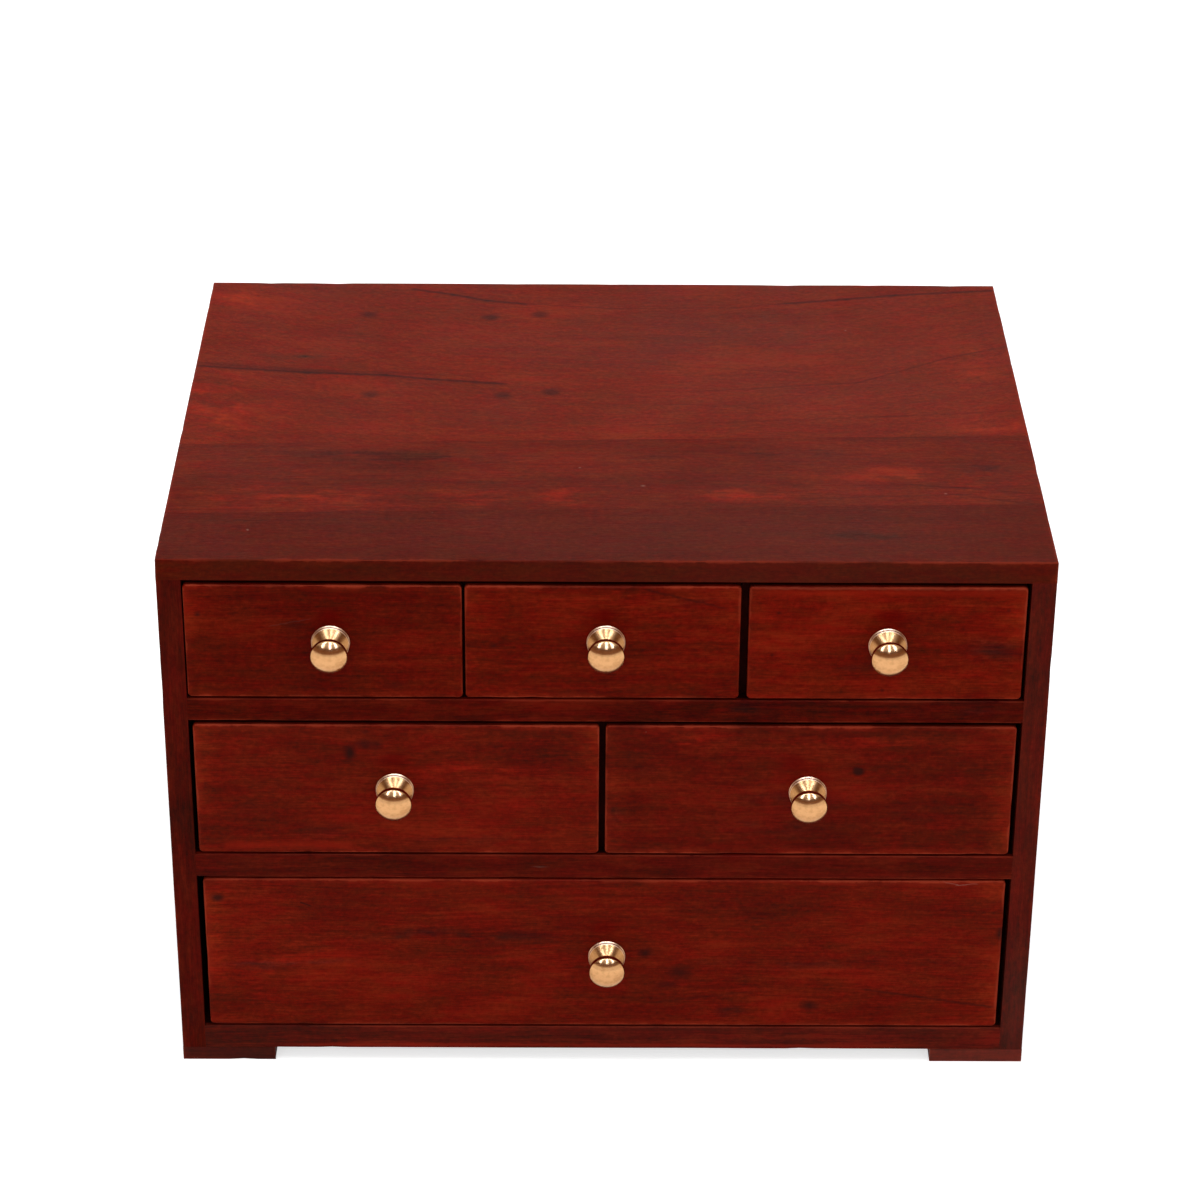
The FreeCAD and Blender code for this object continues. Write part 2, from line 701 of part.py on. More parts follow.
def make_front(doc, plan):
    """A drawer front: rebated at its ends, grooved for the bottom, bored for the knob screw, and eased."""
    body = new_body(doc, plan.label("front"), plan.front_left, FRONT_Y, plan.front_floor)
    outline = new_sketch(body, "XZ_Plane")
    draw_rectangle(outline, ZERO, ZERO, plan.front_width, plan.front_height)
    pad(body, outline, size("front_thickness"), backwards=True)

    round_edges(
        body,
        size("front_corner_round"),
        lambda box: box.YLength > PLACE_TOLERANCE and box.XLength < PLACE_TOLERANCE,
    )
    round_edges(
        body,
        size("front_edge_round"),
        lambda box: at(box.YMin, 0.0) and at(box.YMax, 0.0),
    )

    left_rebate = total(size("drawer_board"), plan.left_lap)
    right_rebate = total(size("drawer_board"), plan.right_lap)
    rebates = new_sketch(body, "XZ_Plane", less(ZERO, FRONT_LIP))
    draw_rectangle(rebates, ZERO, ZERO, left_rebate, plan.front_height)
    right_start = less(plan.front_width, right_rebate)
    draw_rectangle(rebates, right_start, ZERO, right_rebate, plan.front_height)
    pocket(body, rebates, size("front_rebate"), along_normal=False)

    groove_y = less(size("front_thickness"), size("panel_groove"))
    groove = new_sketch(body, "XZ_Plane", less(ZERO, groove_y))
    groove_z = less(size("panel_lift"), size("front_lift"))
    draw_rectangle(groove, left_rebate, groove_z, plan.inner_width, PANEL_SLOT)
    pocket(body, groove, size("panel_groove"), along_normal=False)

    hole = new_sketch(body, "XZ_Plane")
    radius = half(total(size("screw_diameter"), size("screw_hole_fit")))
    draw_circle(hole, plan.knob_x, plan.knob_z, radius)
    pocket(body, hole, size("front_thickness"), along_normal=False)
    return body


def make_drawer_side(doc, plan, is_left):
    """A drawer side, with its front end in the front's rebate and a groove for the bottom."""
    board = size("drawer_board")
    label = plan.label("left_side" if is_left else "right_side")
    x = plan.box_left if is_left else total(plan.inner_left, plan.inner_width)
    body = new_body(doc, label, x, total(FRONT_Y, FRONT_LIP), plan.floor)
    outline = new_sketch(body, "YZ_Plane")
    draw_rectangle(outline, ZERO, ZERO, plan.side_length, plan.side_height)
    pad(body, outline, board)

    groove = new_sketch(body, "YZ_Plane", less(board, size("panel_groove")) if is_left else ZERO)
    draw_rectangle(groove, ZERO, size("panel_lift"), plan.side_length, PANEL_SLOT)
    pocket(body, groove, size("panel_groove"))
    return body


def make_drawer_back(doc, plan):
    """The drawer's back, between the sides and on top of the bottom."""
    board = size("drawer_board")
    lift = total(size("panel_lift"), PANEL_SLOT)
    corner = (plan.inner_left, less(plan.rear_y, board), total(plan.floor, lift))
    height = less(plan.side_height, lift)
    return slab(doc, plan.label("back"), corner, plan.inner_width, board, height)


def make_drawer_bottom(doc, plan):
    """The drawer's plywood bottom, slid into the grooves of the sides and the front from behind."""
    reach = less(size("panel_groove"), size("panel_fit"))
    front_y = less(total(FRONT_Y, size("front_thickness")), reach)
    corner = (less(plan.inner_left, reach), front_y, total(plan.floor, size("panel_lift")))
    width = total(plan.inner_width, times(2, reach))
    depth = less(plan.rear_y, front_y)
    return slab(doc, plan.label("bottom"), corner, width, depth, size("panel_thickness"))


def revolve(body, sketch):
    """A full turn of a sketch about its upright axis."""
    feature = body.newObject("PartDesign::Revolution", f"{body.Name}_turning")
    feature.Profile = sketch
    feature.ReferenceAxis = (sketch, ["V_Axis"])
    feature.Angle = 360
    body.Document.recompute()
    return feature


OUTWARDS = FreeCAD.Rotation(FreeCAD.Vector(1, 0, 0), 90)  # stands a turning out of a drawer front
INWARDS = OUTWARDS.inverted()


def make_knob(doc, plan):
    """A turned knob: flange, hollow-curved stem and mushroom head, with a threaded hole behind."""
    x, z = plan.knob_axis()
    body = new_body(doc, plan.label("knob"), x, FRONT_Y, z, OUTWARDS)
    cup_top = total(size("knob_flange"), size("knob_cup_height"))
    profile = new_sketch(body, "XZ_Plane")
    outline = Turning(profile, ZERO)
    outline.line_to(half(size("knob_base_diameter")), ZERO)
    outline.line_to(half(size("knob_base_diameter")), size("knob_flange"))
    outline.line_to(half(size("knob_cup_diameter")), size("knob_flange"))
    outline.line_to(half(size("knob_cup_diameter")), cup_top)
    outline.curve_to(half(size("knob_neck_diameter")), size("knob_neck_height"))
    outline.curve_to(half(size("knob_head_diameter")), size("knob_head_height"))
    outline.dome_to(size("knob_reach"), size("knob_rim_round"))
    outline.close()
    revolve(body, profile)

    hole = new_sketch(body, "XY_Plane")
    draw_circle(hole, ZERO, ZERO, half(total(size("screw_diameter"), size("thread_fit"))))
    pocket(body, hole, total(size("screw_in_knob"), size("thread_end_gap")))
    return body


def make_screw(doc, plan):
    """The knob's machine screw, put in from inside the drawer: shank, pan head and slot."""
    x, z = plan.knob_axis()
    start = less(FRONT_Y, size("screw_in_knob"))
    body = new_body(doc, plan.label("knob_screw"), x, start, z, INWARDS)
    shank = half(size("screw_diameter"))
    head = half(size("screw_head_diameter"))
    shank_end = total(size("screw_in_knob"), size("front_thickness"))
    head_end = total(shank_end, size("screw_head_height"))
    profile = new_sketch(body, "XZ_Plane")
    outline = Turning(profile, ZERO)
    outline.line_to(shank, ZERO)
    outline.line_to(shank, shank_end)
    outline.line_to(head, shank_end)
    outline.line_to(head, less(head_end, size("screw_head_edge")))
    outline.line_to(less(head, size("screw_head_edge")), head_end)
    outline.line_to(ZERO, head_end)
    outline.close()
    revolve(body, profile)

    slot = new_sketch(body, "XY_Plane", head_end)
    length = size("screw_head_diameter")
    width = size("screw_slot_width")
    draw_rectangle(slot, less(ZERO, half(length)), less(ZERO, half(width)), length, width)
    pocket(body, slot, size("screw_slot_depth"), along_normal=False)
    return body


def make_drawer(doc, name, row, bay):
    """Every piece of one drawer."""
    plan = DrawerPlan(name, row, bay)
    return [
        make_front(doc, plan),
        make_drawer_side(doc, plan, is_left=True),
        make_drawer_side(doc, plan, is_left=False),
        make_drawer_back(doc, plan),
        make_drawer_bottom(doc, plan),
        make_knob(doc, plan),
        make_screw(doc, plan),
    ]


# ---- the whole chest ----


def check(doc, pieces):
    """Stops if any object failed, or any piece's shape is empty or not valid."""
    failed = [o.Name for o in doc.Objects if "Invalid" in o.State or "Error" in o.State]
    if failed:
        raise RuntimeError(f"failed objects: {failed}")
    for piece in pieces:
        if piece.Shape.isNull() or not piece.Shape.isValid() or piece.Shape.Volume <= 0:
            raise RuntimeError(f"{piece.Label}: its shape is empty or not valid")


def main():
    doc = FreeCAD.newDocument("mini_drawers")
    make_sheet(doc)
    pieces = make_case(doc)
    for name, row, bay, *_ in DRAWERS:
        pieces.extend(make_drawer(doc, name, row, bay))
    doc.recompute()
    check(doc, pieces)
    os.makedirs("parts", exist_ok=True)
    for piece in pieces:
        piece.Shape.exportStep(f"parts/{piece.Label}.step")
    print(f"{len(pieces)} pieces")


main()
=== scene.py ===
"""A small red-stained chest of six drawers with turned brass knobs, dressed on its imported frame.

+X is right, +Y is back and +Z is up. Lengths are metres. A name that ends in _mm is in millimetres, and
so are all the places and widths of a Spot or a Streak.
"""

from __future__ import annotations

import functools
import logging
import math
from dataclasses import dataclass
from enum import Enum
from typing import Any, Iterable, Mapping, Sequence, Union

import bmesh
import bpy
from mathutils import Matrix, Vector, noise

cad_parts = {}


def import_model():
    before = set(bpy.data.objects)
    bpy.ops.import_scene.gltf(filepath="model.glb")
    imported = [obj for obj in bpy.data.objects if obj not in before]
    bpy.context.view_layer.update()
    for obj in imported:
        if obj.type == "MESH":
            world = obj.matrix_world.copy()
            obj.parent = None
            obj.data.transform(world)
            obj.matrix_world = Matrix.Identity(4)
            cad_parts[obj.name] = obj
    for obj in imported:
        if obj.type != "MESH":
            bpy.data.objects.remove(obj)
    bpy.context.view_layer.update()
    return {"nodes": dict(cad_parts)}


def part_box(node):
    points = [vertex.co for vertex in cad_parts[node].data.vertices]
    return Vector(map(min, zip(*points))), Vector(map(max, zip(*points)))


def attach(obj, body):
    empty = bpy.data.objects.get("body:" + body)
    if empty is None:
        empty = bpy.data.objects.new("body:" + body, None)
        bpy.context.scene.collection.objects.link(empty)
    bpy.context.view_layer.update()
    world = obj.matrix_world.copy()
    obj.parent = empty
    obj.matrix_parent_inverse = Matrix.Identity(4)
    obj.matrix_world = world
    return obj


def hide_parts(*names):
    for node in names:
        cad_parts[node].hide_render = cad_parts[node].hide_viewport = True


log = logging.getLogger("mini_drawers")

MM = 0.001
FAR = 1.0  # further than any board reaches

Colour = tuple[float, float, float]
Point = tuple[float, float]
Nodes = dict[str, bpy.types.Object]
Socket = bpy.types.NodeSocket
Value = Union[float, Sequence[float], Socket]

NOWHERE = (0.0, 0.0, 0.0)


# ---------------------------------------------------------------------------------------------
# Node trees
# ---------------------------------------------------------------------------------------------


class Graph:
    """A node tree with short ways to add nodes to it."""

    def __init__(self, tree: bpy.types.NodeTree) -> None:
        """Empties a tree and takes hold of it."""
        self.tree = tree
        tree.nodes.clear()

    def add(
        self, kind: str, feeds: Mapping[str | int, Value] | None = None, **settings: Any
    ) -> bpy.types.Node:
        """Adds a node.

        Args:
            kind: The node's type name.
            feeds: What its inputs get, by their names or numbers.
            settings: Properties of the node to set.

        Returns:
            The new node.
        """
        node = self.tree.nodes.new(kind)
        for name, value in settings.items():
            setattr(node, name, value)
        for key, value in (feeds or {}).items():
            self.feed(node.inputs[key], value)
        return node

    def feed(self, socket: Socket, value: Value) -> None:
        """Gives an input a link or a constant.

        Args:
            socket: The input.
            value: An output to link, or the constant to write.
        """
        if isinstance(value, bpy.types.NodeSocket):
            self.tree.links.new(value, socket)
        elif isinstance(value, (tuple, list, Vector)) and len(socket.default_value) == 4:
            socket.default_value = (*value[:3], 1.0)
        else:
            socket.default_value = value

    def math(self, operation: str, *values: Value, clamp: bool = False) -> Socket:
        """One step of arithmetic, held between 0 and 1 if it is clamped."""
        settings = {"operation": operation, "use_clamp": clamp}
        return self.add("ShaderNodeMath", dict(enumerate(values)), **settings).outputs[0]

    def product(self, *values: Value) -> Socket:
        """Several numbers multiplied by each other."""
        return functools.reduce(functools.partial(self.math, "MULTIPLY"), values)

    def vector(self, operation: str, *values: Value) -> Socket:
        """One step of vector arithmetic.

        Args:
            operation: The operation's name, such as SUBTRACT.
            values: Its operands in order.

        Returns:
            The result, a number for DOT_PRODUCT and LENGTH and a vector otherwise.
        """
        keys = (0, "Scale") if operation == "SCALE" else (0, 1)
        feeds = dict(zip(keys, values))
        node = self.add("ShaderNodeVectorMath", feeds, operation=operation)
        return node.outputs["Value" if operation in ("DOT_PRODUCT", "LENGTH") else "Vector"]

    def axes(self, where: Value) -> Sequence[Socket]:
        """A vector's three numbers."""
        return self.add("ShaderNodeSeparateXYZ", {0: where}).outputs

    def lay(
        self, where: Socket, turn: Sequence[float] = NOWHERE, offset: Sequence[float] = NOWHERE
    ) -> Socket:
        """Turns a place about each axis, in radians, and then moves it."""
        feeds = {"Vector": where, "Rotation": turn, "Location": offset}
        return self.add("ShaderNodeMapping", feeds).outputs[0]

    def noise(
        self, where: Socket, scale: float, detail: float = 2.0, roughness: float = 0.5
    ) -> Socket:
        """Soft fractal noise about 0.5, with its features per metre and how fine it gets."""
        feeds = {"Vector": where, "Scale": scale, "Detail": detail, "Roughness": roughness}
        return self.add("ShaderNodeTexNoise", feeds).outputs[0]

    def shift(self, where: Socket, scale: float, reach: Sequence[float]) -> Socket:
        """Moves a place about by soft noise.

        Args:
            where: The place.
            scale: Features per metre.
            reach: How far it may move along each axis.

        Returns:
            The moved place.
        """
        moves = self.add("ShaderNodeTexNoise", {"Vector": where, "Scale": scale}).outputs["Color"]
        about_zero = self.vector("SUBTRACT", moves, (0.5, 0.5, 0.5))
        return self.vector("ADD", where, self.vector("MULTIPLY", about_zero, reach))

    def step(
        self, value: Value, low: Value, high: Value, start: float = 0.0, end: float = 1.0
    ) -> Socket:
        """A smooth step from start to end, as a value goes from low to high."""
        feeds = {"Value": value, "From Min": low, "From Max": high, "To Min": start, "To Max": end}
        return self.add("ShaderNodeMapRange", feeds, interpolation_type="SMOOTHSTEP").outputs[0]

    def mix(self, factor: Value, first: Value, second: Value, blend: str = "MIX") -> Socket:
        """Blends two colours, from the first at a factor of 0 to the second at 1."""
        feeds = {0: factor, 6: first, 7: second}
        return self.add("ShaderNodeMix", feeds, data_type="RGBA", blend_type=blend).outputs[2]

    def ramp(self, factor: Socket, stops: Sequence[tuple[float, Colour]]) -> Socket:
        """A run of colours.

        Args:
            factor: The place along the run.
            stops: Pairs of place and colour.

        Returns:
            The colour.
        """
        node = self.add("ShaderNodeValToRGB", {0: factor})
        elements = node.color_ramp.elements
        while len(elements) < len(stops):
            elements.new(0.5)
        for element, (place, colour) in zip(elements, stops):
            element.position = place
            element.color = (*colour, 1.0)
        return node.outputs[0]

    def weigh(self, base: float, *parts: tuple[Socket, float]) -> Socket:
        """Adds several noises to a base number, each about its own middle.

        Args:
            base: The number with every noise at its middle.
            parts: Pairs of noise and weight.

        Returns:
            The sum.
        """
        result: Value = base
        for part, weight in parts:
            result = self.math("MULTIPLY_ADD", self.math("SUBTRACT", part, 0.5), weight, result)
        return result


class Surface(Graph):
    """The tree of a new material, with its principled shader.

    Attributes:
        material: The material.
        shader: Its shader.
        where: Object coordinates.
    """

    def __init__(self, name: str) -> None:
        """Makes the material.

        Args:
            name: Its name.
        """
        self.material = bpy.data.materials.new(name)
        self.material.use_nodes = True
        super().__init__(self.material.node_tree)
        self.shader = self.add("ShaderNodeBsdfPrincipled")
        self.add("ShaderNodeOutputMaterial", {"Surface": self.shader.outputs[0]})
        self.where = self.add("ShaderNodeTexCoord").outputs["Object"]

    def coat(self, colour: Socket, roughness: Socket) -> None:
        """Gives the shader its colour and its roughness."""
        self.feed(self.shader.inputs["Base Color"], colour)
        self.feed(self.shader.inputs["Roughness"], roughness)

    def bump(self, height: Socket, strength: float, distance: float) -> None:
        """Makes the surface uneven, so far from a height of 0 to one of 1."""
        feeds = {"Strength": strength, "Distance": distance, "Height": height}
        self.feed(self.shader.inputs["Normal"], self.add("ShaderNodeBump", feeds).outputs[0])


# ---------------------------------------------------------------------------------------------
# Marks
# ---------------------------------------------------------------------------------------------


class Grain(Enum):
    """Which way a board's grain runs, as the turn that lays it along X."""

    ALONG_X = (0.0, 0.0, 0.0)
    ALONG_Y = (0.0, 0.0, -math.pi / 2)
    ALONG_Z = (0.0, math.pi / 2, 0.0)


class Face(Enum):
    """The face that a mark is placed on, as the axes of its two numbers."""

    FRONT = (0, 2)
    TOP = (0, 1)

    def spread(self, first: float, second: float) -> Vector:
        """Lays two numbers out along the face's axes.

        Args:
            first: The number for the first axis.
            second: The number for the second.

        Returns:
            Both, with zero along the face's normal.
        """
        result = Vector((0.0, 0.0, 0.0))
        result[self.value[0]] = first
        result[self.value[1]] = second
        return result


class Tint(Enum):
    """The colour that a mark leads to."""

    DARK = (0.021, 0.0040, 0.0028)
    BRIGHT = (0.270, 0.0105, 0.0028)
    # The next tint is a painted highlight along a drawer front's top arris.
    BARE_AND_HIGHLIGHT = (0.260, 0.0440, 0.0200)
    PALE = (0.300, 0.1600, 0.1200)
    # Painted shade: the dark crimson halo just above each knob.
    KNOB_SHADE = (0.105, 0.0008, 0.0004)


@dataclass(frozen=True)
class Spot:
    """A knot, a smudge, a lighter patch or painted shade: a soft-edged ellipse.

    Attributes:
        at: Its centre on the face.
        reach: Its half sizes on the face.
        strength: How much of its tint it has at the middle.
        tint: The colour that it leads to.
        hardness: Where its edge begins, from 0, all soft, to 1.
    """

    at: Point
    reach: Point
    strength: float
    tint: Tint = Tint.DARK
    hardness: float = 0.0

    def mask(self, graph: Graph, where: Socket, face: Face) -> Socket:
        """How much of the spot there is at each place.

        Args:
            graph: The tree to build in.
            where: Object coordinates, slightly unsettled.
            face: The face that it lies on.

        Returns:
            A number from 0 to 1.
        """
        centre = face.spread(*self.at) * MM
        scale = face.spread(1 / (self.reach[0] * MM), 1 / (self.reach[1] * MM))
        away = graph.vector("MULTIPLY", graph.vector("SUBTRACT", where, centre), scale)
        return graph.step(graph.vector("LENGTH", away), self.hardness, 1.0, 1.0, 0.0)


@dataclass(frozen=True)
class Streak:
    """A line in the wood, a rubbed arris, a painted highlight or a scratch: a soft-edged segment.

    Attributes:
        start: One end on the face.
        end: The other end.
        width: Half its width.
        strength: How much of its tint it has.
        tint: The colour that it leads to.
    """

    start: Point
    end: Point
    width: float
    strength: float
    tint: Tint = Tint.DARK

    FADE = 0.10  # where it has all its strength, as the product of the shares before and behind

    def mask(self, graph: Graph, where: Socket, face: Face) -> Socket:
        """How much of the streak there is at each place.

        Args:
            graph: The tree to build in.
            where: Object coordinates, slightly unsettled.
            face: The face that it lies on.

        Returns:
            A number from 0 to 1.
        """
        start = face.spread(*self.start) * MM
        run = face.spread(*self.end) * MM - start
        flat = graph.vector("MULTIPLY", where, face.spread(1.0, 1.0))
        away = graph.vector("SUBTRACT", flat, start)
        along = graph.vector("DOT_PRODUCT", away, run / run.length_squared)
        along = graph.math("MAXIMUM", graph.math("MINIMUM", along, 1.0), 0.0)
        nearest = graph.vector("SCALE", tuple(run), along)
        distance = graph.vector("LENGTH", graph.vector("SUBTRACT", away, nearest))
        across = graph.step(distance, 0.0, self.width * MM, 1.0, 0.0)
        middle = graph.product(graph.math("SUBTRACT", 1.0, along), along)
        return graph.product(across, graph.step(middle, 0.0, self.FADE))


Mark = Union[Spot, Streak]


def grown_line(points: Sequence[Point], width: float, strength: float) -> tuple[Streak, ...]:
    """A bent growth line, as streaks that lap each other.

    Args:
        points: The places that it passes through, in millimetres.
        width: Half its width.
        strength: How dark it is.

    Returns:
        One streak for each stretch.
    """
    lap = 0.12
    streaks = []
    for (x0, y0), (x1, y1) in zip(points, points[1:]):
        start = (x0 - lap * (x1 - x0), y0 - lap * (y1 - y0))
        end = (x1 + lap * (x1 - x0), y1 + lap * (y1 - y0))
        streaks.append(Streak(start, end, width, strength))
    return tuple(streaks)


@dataclass(frozen=True)
class WornBox:
    """The box whose arrises are worn on a piece.

    Attributes:
        low: Its lowest corner.
        high: Its highest corner.
    """

    low: tuple[float, float, float]
    high: tuple[float, float, float]

    def distance(self, surface: Surface) -> Socket:
        """The distance from a place on the surface to the nearest arris.

        Args:
            surface: The material to build in.

        Returns:
            The distance, which is the middle one of the three distances to the box's faces.
        """
        below = surface.vector("SUBTRACT", surface.where, self.low)
        above = surface.vector("SUBTRACT", self.high, surface.where)
        x, y, z = surface.axes(surface.vector("MINIMUM", below, above))
        least = surface.math("MINIMUM", x, y)
        most = surface.math("MAXIMUM", x, y)
        return surface.math("MAXIMUM", least, surface.math("MINIMUM", most, z))


# ---------------------------------------------------------------------------------------------
# Finishes
# ---------------------------------------------------------------------------------------------


@dataclass(frozen=True)
class Layer:
    """One noise that is drawn out along the grain.

    Attributes:
        across: How much finer it is across the grain than along it.
        scale: Features per metre along the grain.
        detail: How many finer layers it has.
        roughness: How strong the finer layers are.
    """

    across: float
    scale: float
    detail: float
    roughness: float

    def read(self, graph: Graph, place: Socket) -> Socket:
        """Reads the layer, a number about 0.5, at a place in the log."""
        drawn = graph.vector("MULTIPLY", place, (1.0, self.across, self.across))
        return graph.noise(drawn, self.scale, self.detail, self.roughness)


@dataclass(frozen=True)
class Sweep:
    """How a board's growth lines bend along its length.

    Attributes:
        middle: Where along the board the bend is.
        bend: How sharply the lines turn, per metre.
    """

    middle: float = 0.0
    bend: float = 0.0


@dataclass(frozen=True)
class StainedWood:
    """Close-grained wood under a dark red stain and a thin satin varnish.

    Attributes:
        tone: How light the board took the stain.
        seed: Which part of the log it came from.
        grain: Which way its grain runs.
        wear_mm: How far the wear reaches in from an arris.
        wear: How bare the worn arrises are, from 0 to 1.
        rub: How much lighter a broad strip along the arrises is.
        contrast: How strong the figure is.
        glow: How much brighter and redder the clouds in the figure are.
        gloss: The varnish's index of refraction.
        warmth: How much browner than red the stain is.
        gap_shade: How much darker the faces inside the gaps are, as painted shade.
        film: How much dust lies evenly on the varnish.
        ends: How much lighter the board is rubbed towards its ends.
        sweep: How the growth lines bend.
    """

    tone: float
    seed: int
    grain: Grain = Grain.ALONG_X
    wear_mm: float = 0.9
    wear: float = 0.75
    rub: float = 0.46
    contrast: float = 1.0
    glow: float = 0.2
    gloss: float = 1.075
    warmth: float = 0.0
    gap_shade: float = 0.0
    film: float = 0.0
    ends: float = 0.0
    sweep: Sweep = Sweep()

    def material(
        self, name: str, worn: WornBox, marks: Iterable[Mark] = (), face: Face = Face.FRONT
    ) -> bpy.types.Material:
        """Makes the finish for a board, with its worn box, its marks and the face they are on."""
        return StainWork(name, self, worn).build(marks, face)


class StainWork(Surface):
    """The stain of one board, laid on step by step.

    Attributes:
        wood: The board's finish.
        worn: The box whose arrises are worn.
        place: The place in the log, with the grain along X and the growth lines straight.
        clouds: The broad clouds of the figure.
        fibres: Its finest lines.
        figure: The whole figure, about 0.5.
        ragged: A noise along the grain.
        patchy: A noise of broad patches.
        colour: The colour so far.
    """

    # The stain, from its darkest figure to its clouds, and how it differs in small patches.
    DARK = (0.040, 0.0031, 0.0011)
    MIDDLE = (0.104, 0.0046, 0.0011)
    LIGHT = (0.184, 0.0090, 0.0024)
    GLOW = (0.225, 0.0090, 0.0022)
    REDDER = (1.02, 0.72, 0.85)
    BROWNER = (0.98, 1.30, 1.15)
    # Where hands and cloth have worn it, the painted shade inside the gaps, and what lies on it.
    RUBBED = (0.235, 0.0150, 0.0045)
    RUBBED_ENDS = (2.0, 3.0, 2.5)
    # The colour of bare worn arrises.
    BARE_AND_HIGHLIGHT = (0.320, 0.0380, 0.0150)
    PAINTED_GAP_SHADE = (0.006, 0.0010, 0.0005)
    DUST = (0.300, 0.1600, 0.1200)

    CLOUDS = Layer(2.2, 15.0, 3.0, 0.5)
    BANDS = Layer(14.0, 7.0, 4.0, 0.6)
    LINES = Layer(42.0, 17.0, 5.0, 0.66)
    FIBRES = Layer(18.0, 150.0, 3.0, 0.7)
    FLECKS = Layer(4.5, 42.0, 4.0, 0.66)
    MOTTLE = Layer(1.5, 330.0, 3.0, 0.72)
    PATCHES = Layer(3.2, 58.0, 4.0, 0.66)
    DRAWN = Layer(12.0, 22.0, 4.0, 0.65)
    TORN = Layer(2.6, 34.0, 3.0, 0.6)

    RINGS_PER_BAND = 9.0
    SOFT_SPOT_MM = 10.0  # a spot that reaches further than this has torn edges
    END_MM = (14.0, 0.5)  # where a rubbed end begins and where it is whole, in from the end
    RUB_MM = (0.4, 4.0)  # how far in a rubbed strip is whole, and where it ends
    BARE_MM = 0.3  # where a bare arris begins to fade
    GAP_SHADE_MM = (1.5, 2.7)  # where the painted shade in the gaps begins and where it is whole, behind the front
    GAP_SIDE_MM = (189.15, 189.45)  # how far aside the faces inside the gaps reach
    SPECKS_PER_METRE = 52.0
    SPECK_SHARE = 0.88  # the share of the possible specks that isn't there
    SATIN = 0.43

    def __init__(self, name: str, wood: StainedWood, worn: WornBox) -> None:
        """Lays the stain on the wood's figure.

        Args:
            name: The material's name.
            wood: The board's finish.
            worn: The box whose arrises are worn.
        """
        super().__init__(name)
        self.wood = wood
        self.worn = worn
        self.place = self._place()
        bent = self.shift(self.place, 7.0, (0.0, 0.012, 0.012))
        self.clouds = self.CLOUDS.read(self, bent)
        self.fibres = self.FIBRES.read(self, self.place)
        self.figure = self._figure(bent)
        self.ragged = self.noise(self.place, 90.0, 4.0, 0.7)
        self.patchy = self.noise(self.where, 21.0)
        stops = ((0.10, self.DARK), (0.5, self.MIDDLE), (0.88, self.LIGHT))
        self.colour = self.ramp(self.figure, stops)
        self._cover(self.step(self.clouds, 0.5, 0.74, 0.0, wood.glow), self.GLOW)
        self._cover(1.0, (wood.tone, wood.tone * (1.0 + wood.warmth), wood.tone), "MULTIPLY")
        browner = self.step(self.PATCHES.read(self, self.place), 0.36, 0.64)
        self._cover(1.0, self.mix(browner, self.REDDER, self.BROWNER), "MULTIPLY")

    def _cover(self, amount: Value, colour: Value, blend: str = "MIX") -> None:
        """Lays so much of a colour over what there is."""
        self.colour = self.mix(amount, self.colour, colour, blend)

    def _place(self) -> Socket:
        """Coordinates with the grain along X and the growth lines straight.

        Returns:
            The place in the log.
        """
        seed, sweep = self.wood.seed, self.wood.sweep
        turned = self.lay(self.where, self.wood.grain.value)
        along = self.math("SUBTRACT", self.axes(turned)[0], sweep.middle)
        bent = self.vector("SCALE", (0.0, 1.0, 1.0), self.product(along, along, -sweep.bend))
        return self.vector(
            "ADD", self.vector("ADD", turned, bent), (0.71 * seed, 0.37 * seed, 0.53 * seed)
        )

    def _figure(self, bent: Socket) -> Socket:
        """The wood's figure.

        Args:
            bent: The place in the log, with the grain a little bent.

        Returns:
            The figure about 0.5.
        """
        contrast = self.wood.contrast
        bands = self.BANDS.read(self, bent)
        figure = self.weigh(
            0.5,
            (self.clouds, 0.66 * contrast),
            (bands, 0.60 * contrast),
            (self.FLECKS.read(self, bent), 0.36 * contrast),
            (self.LINES.read(self, bent), 0.64 * contrast),
            (self.fibres, 0.30 + 0.30 * contrast),
            (self.MOTTLE.read(self, self.place), 0.80),
        )
        rings = self.math("PINGPONG", self.product(bands, self.RINGS_PER_BAND), 0.5)
        late = self.step(rings, 0.0, 0.14, 1.0, 0.0)
        return self.math("MULTIPLY_ADD", late, -0.05 * contrast, figure)

    def build(self, marks: Iterable[Mark], face: Face) -> bpy.types.Material:
        """Marks the board, wears it and varnishes it.

        Args:
            marks: Knots, smudges, streaks, scratches and painted light and shade.
            face: The face that they are placed on.

        Returns:
            The material.
        """
        self._mark(marks, face)
        if self.wood.ends > 0.0:
            self._rub_ends()
        bare = self._wear()
        if self.wood.film > 0.0:
            self._cover(self.wood.film, self.DUST)
        if self.wood.gap_shade > 0.0:
            self._shade_gaps()
        self._speckle()
        satin = self.weigh(self.SATIN, (self.fibres, 0.22), (self.patchy, 0.2))
        self.coat(self.colour, self.math("MULTIPLY_ADD", bare, 0.12, satin))
        self.shader.inputs["IOR"].default_value = self.wood.gloss
        height = self.weigh(0.5, (self.fibres, 0.8), (self.figure, 0.5), (self.ragged, 0.25))
        self.bump(height, 0.35, 0.35 * MM)
        return self.material

